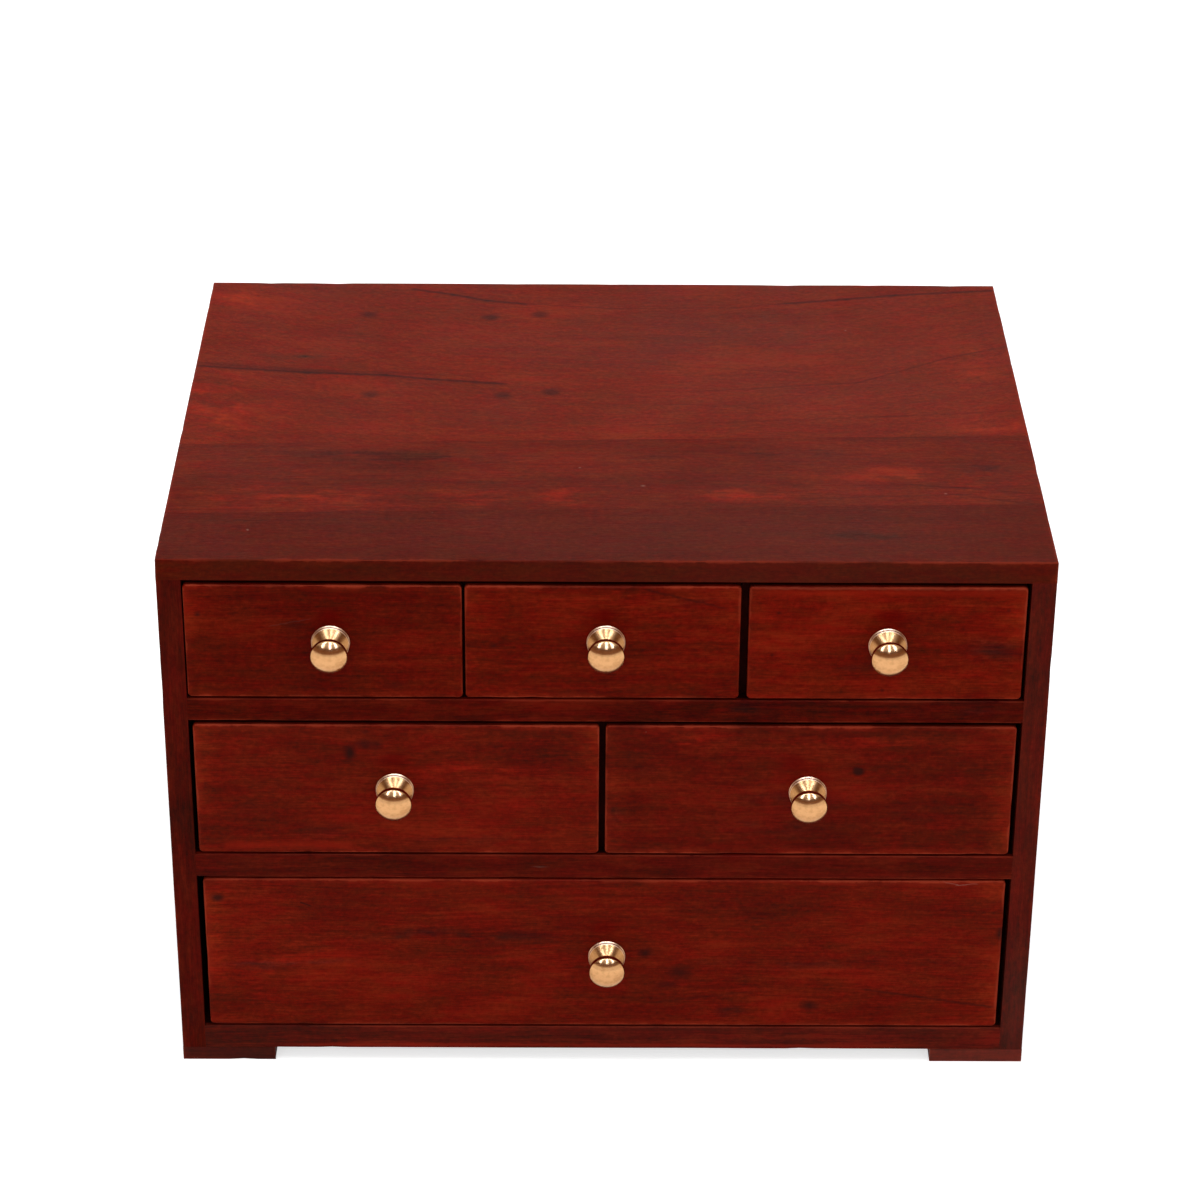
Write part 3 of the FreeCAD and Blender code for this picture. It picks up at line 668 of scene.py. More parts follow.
    def _mark(self, marks: Iterable[Mark], face: Face) -> None:
        """Lays knots, smudges, streaks, scratches and painted light and shade over the colour.

        Args:
            marks: The marks on this board.
            face: The face that they are placed on.
        """
        unsettled = self.shift(self.where, 46.0, (0.007, 0.007, 0.007))
        unsettled = self.shift(unsettled, 260.0, (0.0022, 0.0022, 0.0022))
        steady = self.shift(self.where, 260.0, (0.0014, 0.0014, 0.0014))
        torn = self.step(self.TORN.read(self, self.place), 0.40, 0.60, 0.1, 1.5)
        drawn = self.step(self.DRAWN.read(self, self.place), 0.3, 0.7, 0.5, 1.3)
        broken = self.product(torn, drawn)
        for mark in marks:
            is_soft = isinstance(mark, Spot) and max(mark.reach) > self.SOFT_SPOT_MM
            amount = mark.mask(self, unsettled if is_soft else steady, face)
            target: Value = mark.tint.value
            if is_soft and mark.tint is not Tint.PALE:
                amount = self.product(amount, broken)
                lift = tuple(tint / middle for tint, middle in zip(mark.tint.value, self.MIDDLE))
                target = self.vector("MULTIPLY", self.colour, lift)
            self._cover(self.product(amount, mark.strength), target)

    def _rub_ends(self) -> None:
        """Lightens the board in patches towards its ends."""
        low, high = self.worn.low[0], self.worn.high[0]
        begins, whole = ((high - low) / 2 - inset * MM for inset in self.END_MM)
        aside = self.math("SUBTRACT", self.axes(self.where)[0], (low + high) / 2)
        near = self.step(self.math("ABSOLUTE", aside), begins, whole, 0.0, self.wood.ends)
        amount = self.product(near, self.step(self.patchy, 0.40, 0.62, 0.1, 1.0))
        self._cover(amount, self.vector("MULTIPLY", self.colour, self.RUBBED_ENDS))

    def _wear(self) -> Socket:
        """Rubs a strip along the arrises lighter, and the arrises bare.

        Returns:
            How bare each place is.
        """
        distance = self.worn.distance(self)
        whole, end = (inset * MM for inset in self.RUB_MM)
        rubbed = self.product(
            self.step(distance, whole, end, 1.0, 0.0),
            self.step(self.patchy, 0.42, 0.60, 0.0, 1.0),
            self.step(self.ragged, 0.34, 0.62, 0.35, 1.25),
            self.wood.rub,
        )
        self._cover(rubbed, self.RUBBED)
        wear = self.wood.wear_mm * MM
        reach = self.step(self.ragged, 0.36, 0.68, 0.5 * wear, 2.2 * wear)
        bare = self.product(
            self.step(distance, self.BARE_MM * MM, reach, 1.0, 0.0),
            self.step(self.patchy, 0.38, 0.58, 0.25, 1.0),
            self.wood.wear,
        )
        self._cover(bare, self.BARE_AND_HIGHLIGHT)
        return bare

    def _shade_gaps(self) -> None:
        """Paints shade on the faces inside the gaps round the drawers."""
        x, y, _ = self.axes(self.where)
        begins, whole = (self.worn.low[1] + depth * MM for depth in self.GAP_SHADE_MM)
        inner, outer = (aside * MM for aside in self.GAP_SIDE_MM)
        inside = self.step(self.math("ABSOLUTE", x), inner, outer, 1.0, 0.0)
        amount = self.product(self.step(y, begins, whole), inside, self.wood.gap_shade)
        self._cover(amount, self.PAINTED_GAP_SHADE)

    def _speckle(self) -> None:
        """Strews a few specks of dust over the varnish."""
        unsettled = self.shift(self.where, 700.0, (0.0008, 0.0008, 0.0008))
        feeds = {"Vector": unsettled, "Scale": self.SPECKS_PER_METRE}
        specks = self.add("ShaderNodeTexVoronoi", feeds).outputs
        dust = self.product(
            self.step(specks["Distance"], 0.012, 0.022, 1.0, 0.0),
            self.math("GREATER_THAN", self.axes(specks["Color"])[0], self.SPECK_SHARE),
            0.3,
        )
        self._cover(dust, self.DUST)


@dataclass(frozen=True)
class PlainWood:
    """Planed wood with no finish, or thin plywood.

    Attributes:
        light: The early wood.
        dark: The late wood.
        seed: Which part of the log it came from.
        grain: Which way its grain runs.
    """

    light: Colour
    dark: Colour
    seed: int
    grain: Grain = Grain.ALONG_X

    BANDS = Layer(9.0, 9.0, 3.0, 0.55)
    FIBRES = Layer(30.0, 110.0, 3.0, 0.6)
    RINGS_PER_BAND = 16.0
    UNPOLISHED = 0.68
    GLOSS = 1.3

    def material(self, name: str) -> bpy.types.Material:
        """Makes the finish.

        Args:
            name: The material's name.

        Returns:
            The material.
        """
        surface = Surface(name)
        offset = (0.41 * self.seed, 0.83 * self.seed, 0.29 * self.seed)
        place = surface.lay(surface.where, self.grain.value, offset)
        bands = self.BANDS.read(surface, surface.shift(place, 5.0, (0.0, 0.02, 0.02)))
        fibres = self.FIBRES.read(surface, place)
        rings = surface.math("PINGPONG", surface.product(bands, self.RINGS_PER_BAND), 0.5)
        late = surface.step(rings, 0.0, 0.3, 0.75, 0.0)
        figure = surface.weigh(0.25, (bands, 0.9), (fibres, 0.9))
        figure = surface.math("MULTIPLY_ADD", late, 0.45, figure, clamp=True)
        colour = surface.mix(figure, self.light, self.dark)
        surface.coat(colour, surface.weigh(self.UNPOLISHED, (fibres, 0.2)))
        surface.shader.inputs["IOR"].default_value = self.GLOSS
        surface.bump(fibres, 0.3, 0.3 * MM)
        return surface.material


@dataclass(frozen=True)
class Handling:
    """Where a turned piece is tarnished, and where it is rubbed matt.

    Attributes:
        hollow: The two Y values that the tarnished hollow lies between.
        bevel_radius: The radius beyond which the bevels lie.
        bevel_front: The Y in front of the bevels.
        bevel_facing: The most that a bevel's normal reaches along Y, where a wall's reaches 0.
    """

    hollow: Point
    bevel_radius: float
    bevel_front: float
    bevel_facing: float = -0.3

    def tarnished(self, surface: Surface, y: Socket) -> Socket:
        """How far each place is inside the hollow.

        Args:
            surface: The material to build in.
            y: The place's Y.

        Returns:
            From 0 outside to 1 inside.
        """
        fore, rear = self.hollow
        inside = surface.step(y, fore, fore + 1.6 * MM)
        return surface.product(inside, surface.step(y, rear - 0.5 * MM, rear, 1.0, 0.0))

    def rubbed(self, surface: Surface, radius: Socket, y: Socket) -> Socket:
        """Whether each place is on a bevel.

        Args:
            surface: The material to build in.
            radius: The place's distance from the axis.
            y: The place's Y.

        Returns:
            1 on the bevels and 0 elsewhere.
        """
        facing = surface.axes(surface.add("ShaderNodeTexCoord").outputs["Normal"])[1]
        return surface.product(
            surface.math("GREATER_THAN", radius, self.bevel_radius),
            surface.math("GREATER_THAN", y, self.bevel_front),
            surface.math("LESS_THAN", facing, self.bevel_facing),
        )


@dataclass(frozen=True)
class TurnedMetal:
    """Metal finished on a lathe, with turning marks about its axis.

    Attributes:
        bright: The clean metal.
        tarnish: The metal where fingers and cloth don't reach.
        rubbed: The metal on its matt edges.
        roughness: The polish.
        rings: Turning marks per metre.
    """

    bright: Colour
    tarnish: Colour
    rubbed: Colour
    roughness: float
    rings: float

    FINEST_POLISH = 0.03

    def material(
        self, name: str, centre: Vector, handling: Handling | None = None
    ) -> bpy.types.Material:
        """Makes the finish for one turned piece.

        Args:
            name: The material's name.
            centre: A point on the piece's axis, which runs along Y.
            handling: Where it is tarnished and rubbed, if it is handled.

        Returns:
            The material.
        """
        surface = Surface(name)
        place = surface.lay(surface.where, offset=(-centre.x, 0.0, -centre.z))
        y = surface.axes(place)[1]
        radius = surface.vector("LENGTH", surface.vector("MULTIPLY", place, (1.0, 0.0, 1.0)))
        smear = surface.noise(place, 240.0, 3.0, 0.6)
        swirled = surface.shift(place, 90.0, (0.01, 0.01, 0.01))
        drawn = surface.vector("MULTIPLY", swirled, (0.3, 1.0, 7.0))
        scratch = surface.noise(drawn, 900.0, 2.0, 0.6)

        dull = surface.step(smear, 0.42, 0.66, 0.0, 0.6)
        colour = surface.mix(dull, self.bright, self.tarnish)
        polish = surface.weigh(self.roughness, (smear, 0.10), (scratch, 0.08))
        if handling is not None:
            inside = handling.tarnished(surface, y)
            dulled = surface.product(inside, surface.step(smear, 0.3, 0.62, 0.6, 0.95))
            colour = surface.mix(dulled, colour, self.tarnish)
            rubbed = handling.rubbed(surface, radius, y)
            colour = surface.mix(rubbed, colour, self.rubbed)
            polish = surface.math("MULTIPLY_ADD", inside, 0.08, polish)
            polish = surface.math("MULTIPLY_ADD", rubbed, 0.16, polish)
        surface.coat(colour, surface.math("MAXIMUM", polish, self.FINEST_POLISH))
        surface.shader.inputs["Metallic"].default_value = 1.0
        profile = surface.math("ADD", radius, y)
        turned = surface.math("SINE", surface.product(profile, self.rings))
        height = surface.math("MULTIPLY_ADD", turned, 0.3, surface.product(scratch, 0.8))
        surface.bump(height, 0.06, 0.05 * MM)
        return surface.material


BRASS = TurnedMetal(
    (0.69, 0.362, 0.158), (0.47, 0.215, 0.075), (0.78, 0.44, 0.25), 0.17, 26000.0
)
ZINC = TurnedMetal((0.56, 0.57, 0.60), (0.30, 0.29, 0.28), (0.56, 0.57, 0.60), 0.32, 9000.0)
NAIL_STEEL = TurnedMetal(
    (0.40, 0.38, 0.36), (0.20, 0.15, 0.11), (0.40, 0.38, 0.36), 0.42, 9000.0
)
PALE_BOARD = PlainWood((0.60, 0.40, 0.22), (0.40, 0.23, 0.11), 3)


# ---------------------------------------------------------------------------------------------
# Meshes
# ---------------------------------------------------------------------------------------------


def add_object(name: str, mesh: bpy.types.Mesh, material: bpy.types.Material) -> bpy.types.Object:
    """Puts a mesh in the scene, at the origin.

    Args:
        name: The object's name.
        mesh: Its mesh.
        material: Its only material.

    Returns:
        The new object.
    """
    mesh.name = name
    mesh.materials.clear()
    mesh.materials.append(material)
    thing = bpy.data.objects.new(name, mesh)
    bpy.context.scene.collection.objects.link(thing)
    return thing


def to_mesh(shape: bmesh.types.BMesh, name: str, sharp: float | None = None) -> bpy.types.Mesh:
    """Makes a mesh of a shape, and frees the shape.

    Args:
        shape: The shape.
        name: The mesh's name.
        sharp: The angle in degrees from which an edge is sharp, if the mesh is smooth elsewhere.

    Returns:
        The mesh.
    """
    mesh = bpy.data.meshes.new(name)
    shape.to_mesh(mesh)
    shape.free()
    if sharp is not None:
        mesh.shade_smooth()
        mesh.set_sharp_from_angle(angle=math.radians(sharp))
    return mesh


def dress(node: bpy.types.Object, material: bpy.types.Material) -> None:
    """Gives a frame node a finish in place of its own.

    Args:
        node: The node's object.
        material: The finish.
    """
    node.data.materials.clear()
    node.data.materials.append(material)
    log.info("dressed %s", node.name)


def stations(low: float, high: float, pitch: float, edge: float) -> list[float]:
    """Places to cut a board at, along one axis: near both ends, and evenly between.

    Args:
        low: The board's low end.
        high: Its high end.
        pitch: The distance between cuts.
        edge: The first cut's distance from an end.

    Returns:
        The places of the cuts.
    """
    span = high - low
    if span < 4 * edge:
        return []
    count = max(1, round((span - 2 * edge) / pitch))
    return [low + edge + (span - 2 * edge) * i / count for i in range(count + 1)]


@dataclass
class HandWork:
    """How far a finished board is from its drawing.

    Attributes:
        pitch: The distance between the points that are worked.
        edge: The first row of points, in from each end.
        waver: How far a face is out of flat.
        waver_pitch: The length of one waver.
        dent: How deep the worst knocks on the arrises are.
        dent_pitch: How far apart the knocks are.
        spared: The share of the arrises' noise that leaves no knock.
        seed: What settles the waver, so that it is the same each time.
        sharp: The angle from which an edge stays sharp, in degrees.
    """

    pitch: float = 7.0 * MM
    edge: float = 1.6 * MM
    waver: float = 0.10 * MM
    waver_pitch: float = 45.0 * MM
    dent: float = 0.45 * MM
    dent_pitch: float = 11.0 * MM
    spared: float = 0.30
    seed: int = 7
    sharp: float = 32.0

    def work(
        self, node: bpy.types.Object, low: Vector, high: Vector, worn: WornBox
    ) -> bpy.types.Mesh:
        """Copies a node's solid and works it over, always inside its own box.

        Args:
            node: The node's object.
            low: The lowest corner of the node's box.
            high: The highest corner.
            worn: The box whose arrises are knocked.

        Returns:
            The worked mesh.
        """
        noise.seed_set(self.seed)
        shape = bmesh.new()
        shape.from_mesh(node.data)
        bmesh.ops.remove_doubles(shape, verts=shape.verts, dist=1e-6)
        bmesh.ops.dissolve_limit(
            shape, angle_limit=math.radians(0.3), verts=shape.verts, edges=shape.edges
        )
        for axis in range(3):
            normal = Vector((0.0, 0.0, 0.0))
            normal[axis] = 1.0
            for place in stations(low[axis], high[axis], self.pitch, self.edge):
                everything = shape.verts[:] + shape.edges[:] + shape.faces[:]
                bmesh.ops.bisect_plane(
                    shape, geom=everything, dist=1e-7, plane_co=normal * place, plane_no=normal
                )
        for vert in shape.verts:
            vert.co = self._worked(vert.co, low, high, worn)
        bmesh.ops.triangulate(shape, faces=[f for f in shape.faces if len(f.verts) > 4])
        return to_mesh(shape, node.name, self.sharp)

    def _worked(self, place: Vector, low: Vector, high: Vector, worn: WornBox) -> Vector:
        """Where a point of the drawing ends up on the finished board.

        Args:
            place: The point.
            low: The lowest corner of the board's box.
            high: The highest corner.
            worn: The box whose arrises are knocked.

        Returns:
            The point's new place.
        """
        out_of_flat = noise.noise_vector(place / self.waver_pitch) * self.waver
        gaps = [min(place[i] - worn.low[i], worn.high[i] - place[i]) for i in range(3)]
        to_arris = sorted(gaps)[1]
        near_arris = max(0.0, 1.0 - to_arris / self.edge)
        knock = max(0.0, noise.noise(place / self.dent_pitch) - self.spared) * 2.0
        middle = (low + high) / 2
        inwards = Vector(
            math.copysign(1.0, middle[i] - place[i]) if gaps[i] <= to_arris else 0.0
            for i in range(3)
        )
        moved = place + out_of_flat + inwards * (knock * near_arris * self.dent)
        return Vector(min(max(moved[i], low[i]), high[i]) for i in range(3))


@dataclass
class Board:
    """One board that is worked by hand over its node.

    Attributes:
        node: The node that it stands for.
        body: The body that it rides on.
        finish: Its finish.
        worn: The box whose arrises are worn.
        marks: Knots, smudges, scratches and painted light and shade.
        face: The face that the marks are on.
    """

    node: str
    body: str
    finish: StainedWood
    worn: WornBox
    marks: tuple[Mark, ...] = ()
    face: Face = Face.FRONT

    def build(self, nodes: Nodes) -> bpy.types.Object:
        """Makes the board and hides its node.

        Args:
            nodes: The frame's nodes by name.

        Returns:
            The board.
        """
        low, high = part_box(self.node)
        mesh = HandWork().work(nodes[self.node], low, high, self.worn)
        material = self.finish.material(f"{self.node}_stain", self.worn, self.marks, self.face)
        board = add_object(f"{self.node}_finished", mesh, material)
        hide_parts(self.node)
        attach(board, self.body)
        log.info("built %s with %d faces", board.name, len(mesh.polygons))
        return board


def lathe(profile: Sequence[Point], centre: Vector, segments: int, sharp: float) -> bpy.types.Mesh:
    """Turns a profile about an axis that runs through a centre towards -Y.

    Args:
        profile: Pairs of radius and distance along the axis, from one pole to the other.
        centre: Where the axis begins.
        segments: How many steps make a full turn.
        sharp: The angle from which an edge is sharp, in degrees.

    Returns:
        The closed mesh, with its faces outwards.
    """
    shape = bmesh.new()
    rings = []
    for radius, along in profile:
        if radius < 1e-9:
            rings.append([shape.verts.new(centre + Vector((0.0, -along, 0.0)))])
            continue
        angles = (2 * math.pi * i / segments for i in range(segments))
        spokes = (Vector((math.cos(a) * radius, -along, math.sin(a) * radius)) for a in angles)
        rings.append([shape.verts.new(centre + spoke) for spoke in spokes])
    for inner, outer in zip(rings, rings[1:]):
        for i in range(segments):
            j = (i + 1) % segments
            ring = [inner[i % len(inner)], inner[j % len(inner)]]
            ring += [outer[j % len(outer)], outer[i % len(outer)]]
            shape.faces.new(list(dict.fromkeys(ring)))
    bmesh.ops.recalc_face_normals(shape, faces=shape.faces)
    return to_mesh(shape, "turned", sharp)


def arc(centre: Point, radius: float, start: float, end: float, steps: int) -> list[Point]:
    """Points on an arc from one angle to another, in radians, ends included."""
    angles = (start + (end - start) * i / steps for i in range(steps + 1))
    return [(centre[0] + radius * math.cos(a), centre[1] + radius * math.sin(a)) for a in angles]


# ---------------------------------------------------------------------------------------------
# Drawers
# ---------------------------------------------------------------------------------------------


@dataclass
class Knob:
    """One turned brass knob, drawn outwards from the drawer front.

    Attributes:
        node: The node that it stands for.
        body: The body that it rides on.
        flange: The flange's thickness.
        base: The flange's radius.
        cup: The radius of the stem's foot.
        cup_top: Where the stem's straight foot ends.
        slope: How steeply the stem's hollow leaves the foot.
        neck: The radius of the neck.
        neck_at: Where the neck is.
        head: The head's radius.
        head_at: Where the head is widest.
        rim: The radius of the head's rim.
        reach: The knob's whole length.
        ease: The radius on the flange's and foot's back edges.
        groove: How deep the groove between the flange and the foot is.
        bevel_angle: How far the bevels face outwards from the drawer's front.
        flange_bevel: The width of the flange's bevel.
        foot_bevel: The width of the foot's bevel.
        segments: How many steps make a full turn.
        sharp: The angle from which an edge of the outline is sharp, in degrees.
    """

    node: str
    body: str
    flange: float = 1.1 * MM
    base: float = 8.7 * MM
    cup: float = 8.5 * MM
    cup_top: float = 2.5 * MM
    slope: float = math.radians(41.0)
    neck: float = 3.7 * MM
    neck_at: float = 7.8 * MM
    head: float = 8.4 * MM
    head_at: float = 13.3 * MM
    rim: float = 1.6 * MM
    reach: float = 17.7 * MM
    ease: float = 0.16 * MM
    groove: float = 0.6 * MM
    bevel_angle: float = math.radians(50.0)
    flange_bevel: float = 0.7 * MM
    foot_bevel: float = 0.45 * MM
    segments: int = 96
    sharp: float = 13.0

    EASE_STEPS = 8
    HOLLOW_STEPS = 20
    SWELL_STEPS = 20
    RIM_STEPS = 14
    DOME_STEPS = 22
    TARNISH_PAST_NECK = 1.5 * MM

    def profile(self) -> list[Point]:
        """The knob's outline.

        Returns:
            Radius and distance from the drawer front, from the middle of the foot to the tip.
        """
        inner = self.cup - 2 * self.groove
        groove_top = self.flange + 0.4 * self.groove
        line = [(0.0, 0.0), (self.base - self.ease, 0.0)]
        line += self._wall(self.base, 0.0, self.flange, self.flange_bevel)
        line += [(inner, self.flange), (inner, groove_top)]
        line += self._wall(self.cup, groove_top, self.cup_top, self.foot_bevel)
        return line + self._hollow() + self._back_of_head() + self._dome()

    def _wall(self, radius: float, low: float, high: float, bevel: float) -> list[Point]:
        """A straight wall with an eased edge at its back and a bevel at its front.

        Args:
            radius: The wall's radius.
            low: Where it begins.
            high: Where its bevel ends.
            bevel: The bevel's width.

        Returns:
            Its outline.
        """
        centre = (radius - self.ease, low + self.ease)
        eased = arc(centre, self.ease, -math.pi / 2, 0.0, self.EASE_STEPS)
        across = bevel * math.cos(self.bevel_angle)
        rise = bevel * math.sin(self.bevel_angle)
        return eased + [(radius, high - rise), (radius - across, high)]

    def _hollow(self) -> list[Point]:
        """The stem's hollow, which narrows from the foot's bevel to the neck.

        Returns:
            Its outline.
        """
        edge = self.cup - self.foot_bevel * math.cos(self.bevel_angle)
        bend = self.cup_top + (edge - self.neck) * math.tan(self.slope)
        line = []
        for i in range(1, self.HOLLOW_STEPS + 1):
            t = i / self.HOLLOW_STEPS
            radius = (1 - t) ** 2 * edge + (1 - (1 - t) ** 2) * self.neck
            at = (1 - t) ** 2 * self.cup_top + 2 * t * (1 - t) * bend + t**2 * self.neck_at
            line.append((radius, at))
        return line

    def _back_of_head(self) -> list[Point]:
        """The swelling from the neck to the head's widest ring.

        Returns:
            Its outline.
        """
        across = self.head - self.neck
        rise = self.head_at - self.neck_at
        radius = (across**2 + rise**2) / (2 * across)
        centre = (self.head - radius, self.head_at)
        first = math.atan2(self.neck_at - centre[1], self.neck - centre[0])
        return arc(centre, radius, first, 0.0, self.SWELL_STEPS)[1:]

    def _dome(self) -> list[Point]:
        """The rim and the low dome that it runs into.

        Returns:
            Their outline.
        """
        rise = self.reach - self.head_at
        flat = self.head - self.rim
        radius = (flat**2 + rise**2 - self.rim**2) / (2 * (rise - self.rim))
        middle = self.reach - radius
        turn = math.atan2(self.head_at - middle, flat)
        rim = arc((flat, self.head_at), self.rim, 0.0, turn, self.RIM_STEPS)[1:]
        dome = arc((0.0, middle), radius, turn, math.pi / 2, self.DOME_STEPS)[1:-1]
        return rim + dome + [(0.0, self.reach)]

    def _handling(self, foot: float) -> Handling:
        """Where the knob is tarnished and rubbed.

        Args:
            foot: The Y of the drawer front.

        Returns:
            Its hollow and bevels, in the object's frame.
        """
        return Handling(
            (foot - self.neck_at - self.TARNISH_PAST_NECK, foot - self.flange),
            self.cup - self.foot_bevel * math.cos(self.bevel_angle),
            foot - self.cup_top,
        )

    def build(self) -> bpy.types.Object:
        """Makes the knob and hides its node.

        Returns:
            The knob.
        """
        low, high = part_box(self.node)
        centre = Vector(((low.x + high.x) / 2, high.y, (low.z + high.z) / 2))
        mesh = lathe(self.profile(), centre, self.segments, self.sharp)
        brass = BRASS.material(f"{self.node}_brass", centre, self._handling(centre.y))
        knob = add_object(f"{self.node}_turned", mesh, brass)
        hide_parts(self.node)
        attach(knob, self.body)
        log.info("turned %s with %d faces", knob.name, len(mesh.polygons))
        return knob


@dataclass
class Drawer:
    """One drawer: its stained front, its plain box, its knob and the knob's screw.

    Attributes:
        name: The drawer's name in the frame.
        front: The front's finish.
        marks: The marks on the front.
    """

    name: str
    front: StainedWood
    marks: tuple[Mark, ...] = ()

    BOX = (
        ("left_side", Grain.ALONG_Y, 1),
        ("right_side", Grain.ALONG_Y, 2),
        ("back", Grain.ALONG_X, 3),
    )

    def node(self, piece: str) -> str:
        """The frame's name for one of this drawer's pieces."""
        return f"{self.name}_drawer_{piece}"

    def build(self, nodes: Nodes) -> None:
        """Makes and dresses every piece of the drawer.

        Args:
            nodes: The frame's nodes by name.
        """
        body = f"{self.name}_drawer"
        low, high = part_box(self.node("front"))
        worn = WornBox(tuple(low), (high.x, high.y + FAR, high.z))
        Board(self.node("front"), body, self.front, worn, self.marks).build(nodes)
        Knob(self.node("knob"), body).build()
        low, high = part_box(self.node("knob_screw"))
        zinc = ZINC.material(f"{self.name}_screw_zinc", (low + high) / 2)
        dress(nodes[self.node("knob_screw")], zinc)
        for piece, grain, step in self.BOX:
            wood = PlainWood(PALE_BOARD.light, PALE_BOARD.dark, self.front.seed + step, grain)
            dress(nodes[self.node(piece)], wood.material(f"{self.name}_{piece}_wood"))
        ply = PlainWood((0.56, 0.37, 0.20), (0.45, 0.27, 0.13), self.front.seed + 4)
        dress(nodes[self.node("bottom")], ply.material(f"{self.name}_bottom_ply"))


@dataclass
class BackNails:
    """The flat-headed nails round the back panel.

    Attributes:
        count: How many nails there are.
        inset: Their distance from the panel's edges.
        head: The radius of a head.
        crown: How much a head is domed.
        tilt: How far a head may lean, in radians.
        seed: What settles their small differences.
    """

    count: int = 18
    inset: float = 3.2 * MM
    head: float = 1.7 * MM
    crown: float = 0.22
    tilt: float = 0.05
    seed: int = 5

    INPUTS = {
        "Width": "NodeSocketFloat",
        "Height": "NodeSocketFloat",
        "Middle": "NodeSocketVector",
        "Nails": "NodeSocketInt",
        "Head radius": "NodeSocketFloat",
        "Crown": "NodeSocketFloat",
        "Seed": "NodeSocketInt",
    }

    def _tree(self, material: bpy.types.Material) -> bpy.types.NodeTree:
        """The tree that sets nails round a rectangle.

        Args:
            material: The nails' finish.

        Returns:
            The tree, with inputs for the rectangle and the nails.
        """
        tree = bpy.data.node_groups.new("nails_round_a_panel", "GeometryNodeTree")
        tree.is_modifier = True
        graph = Graph(tree)
        for name, kind in self.INPUTS.items():
            tree.interface.new_socket(name=name, in_out="INPUT", socket_type=kind)
        made = "Nails made"
        tree.interface.new_socket(name=made, in_out="OUTPUT", socket_type="NodeSocketGeometry")
        given = graph.add("NodeGroupInput").outputs

        def after(kind: str, feeds: Mapping[str | int, Any]) -> Socket:
            """Adds a node and gives its first output."""
            return graph.add(kind, feeds).outputs[0]

        line = after(
            "GeometryNodeCurvePrimitiveQuadrilateral",
            {"Width": given["Width"], "Height": given["Height"]},
        )
        spaced = after("GeometryNodeResampleCurve", {"Curve": line, "Count": given["Nails"]})
        ball = after(
            "GeometryNodeMeshUVSphere",
            {"Segments": 20, "Rings": 10, "Radius": given["Head radius"]},
        )
        squash = after("ShaderNodeCombineXYZ", {0: 1.0, 1: 1.0, 2: given["Crown"]})
        head = after("GeometryNodeTransform", {"Geometry": ball, "Scale": squash})
        lean = graph.add(
            "FunctionNodeRandomValue",
            {0: (-self.tilt, -self.tilt, 0.0), 1: (self.tilt, self.tilt, 6.28), "Seed": given["Seed"]},
            data_type="FLOAT_VECTOR",
        ).outputs[0]
        driven = after(
            "GeometryNodeInstanceOnPoints", {"Points": spaced, "Instance": head, "Rotation": lean}
        )
        upright = after(
            "GeometryNodeTransform",
            {"Geometry": driven, "Rotation": (math.pi / 2, 0.0, 0.0), "Translation": given["Middle"]},
        )
        real = after("GeometryNodeRealizeInstances", {0: upright})
        smooth = after("GeometryNodeSetShadeSmooth", {0: real})
        dressed = after("GeometryNodeSetMaterial", {"Geometry": smooth, "Material": material})
        graph.add("NodeGroupOutput", {0: dressed})
        return tree

    def build(self, depth: float) -> bpy.types.Object:
        """Drives the nails.

        Args:
            depth: The Y of the heads' middles.

        Returns:
            The nails, as one plain mesh.
        """
        low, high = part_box("back_panel")
        middle = (low + high) / 2
        middle.y = depth
        material = NAIL_STEEL.material("nail_steel", middle)
        tree = self._tree(material)
        given = {
            "Width": high.x - low.x - 2 * self.inset,
            "Height": high.z - low.z - 2 * self.inset,
            "Middle": tuple(middle),
            "Nails": self.count,
            "Head radius": self.head,
            "Crown": self.crown,
            "Seed": self.seed,
        }
        maker = bpy.data.objects.new("nail_maker", bpy.data.meshes.new("nail_maker"))
        bpy.context.scene.collection.objects.link(maker)
        modifier = maker.modifiers.new("nails", "NODES")
        modifier.node_group = tree
        for item in tree.interface.items_tree:
            if item.in_out == "INPUT":
                modifier[item.identifier] = given[item.name]
        graph = bpy.context.evaluated_depsgraph_get()
        mesh = bpy.data.meshes.new_from_object(maker.evaluated_get(graph))
        bpy.data.objects.remove(maker)
        nails = add_object("back_panel_nails", mesh, material)
        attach(nails, "cabinet")
        log.info("drove %d nails, %d faces", self.count, len(mesh.polygons))
        return nails


# ---------------------------------------------------------------------------------------------
# Case
# ---------------------------------------------------------------------------------------------


# The knots in the rear board of the top, in millimetres.
KNOTS = ((-118.6, 119.4), (-57.2, 116.8), (-32.2, 120.6), (-113, 27), (-49.2, 26.8), (-26, 30.8))


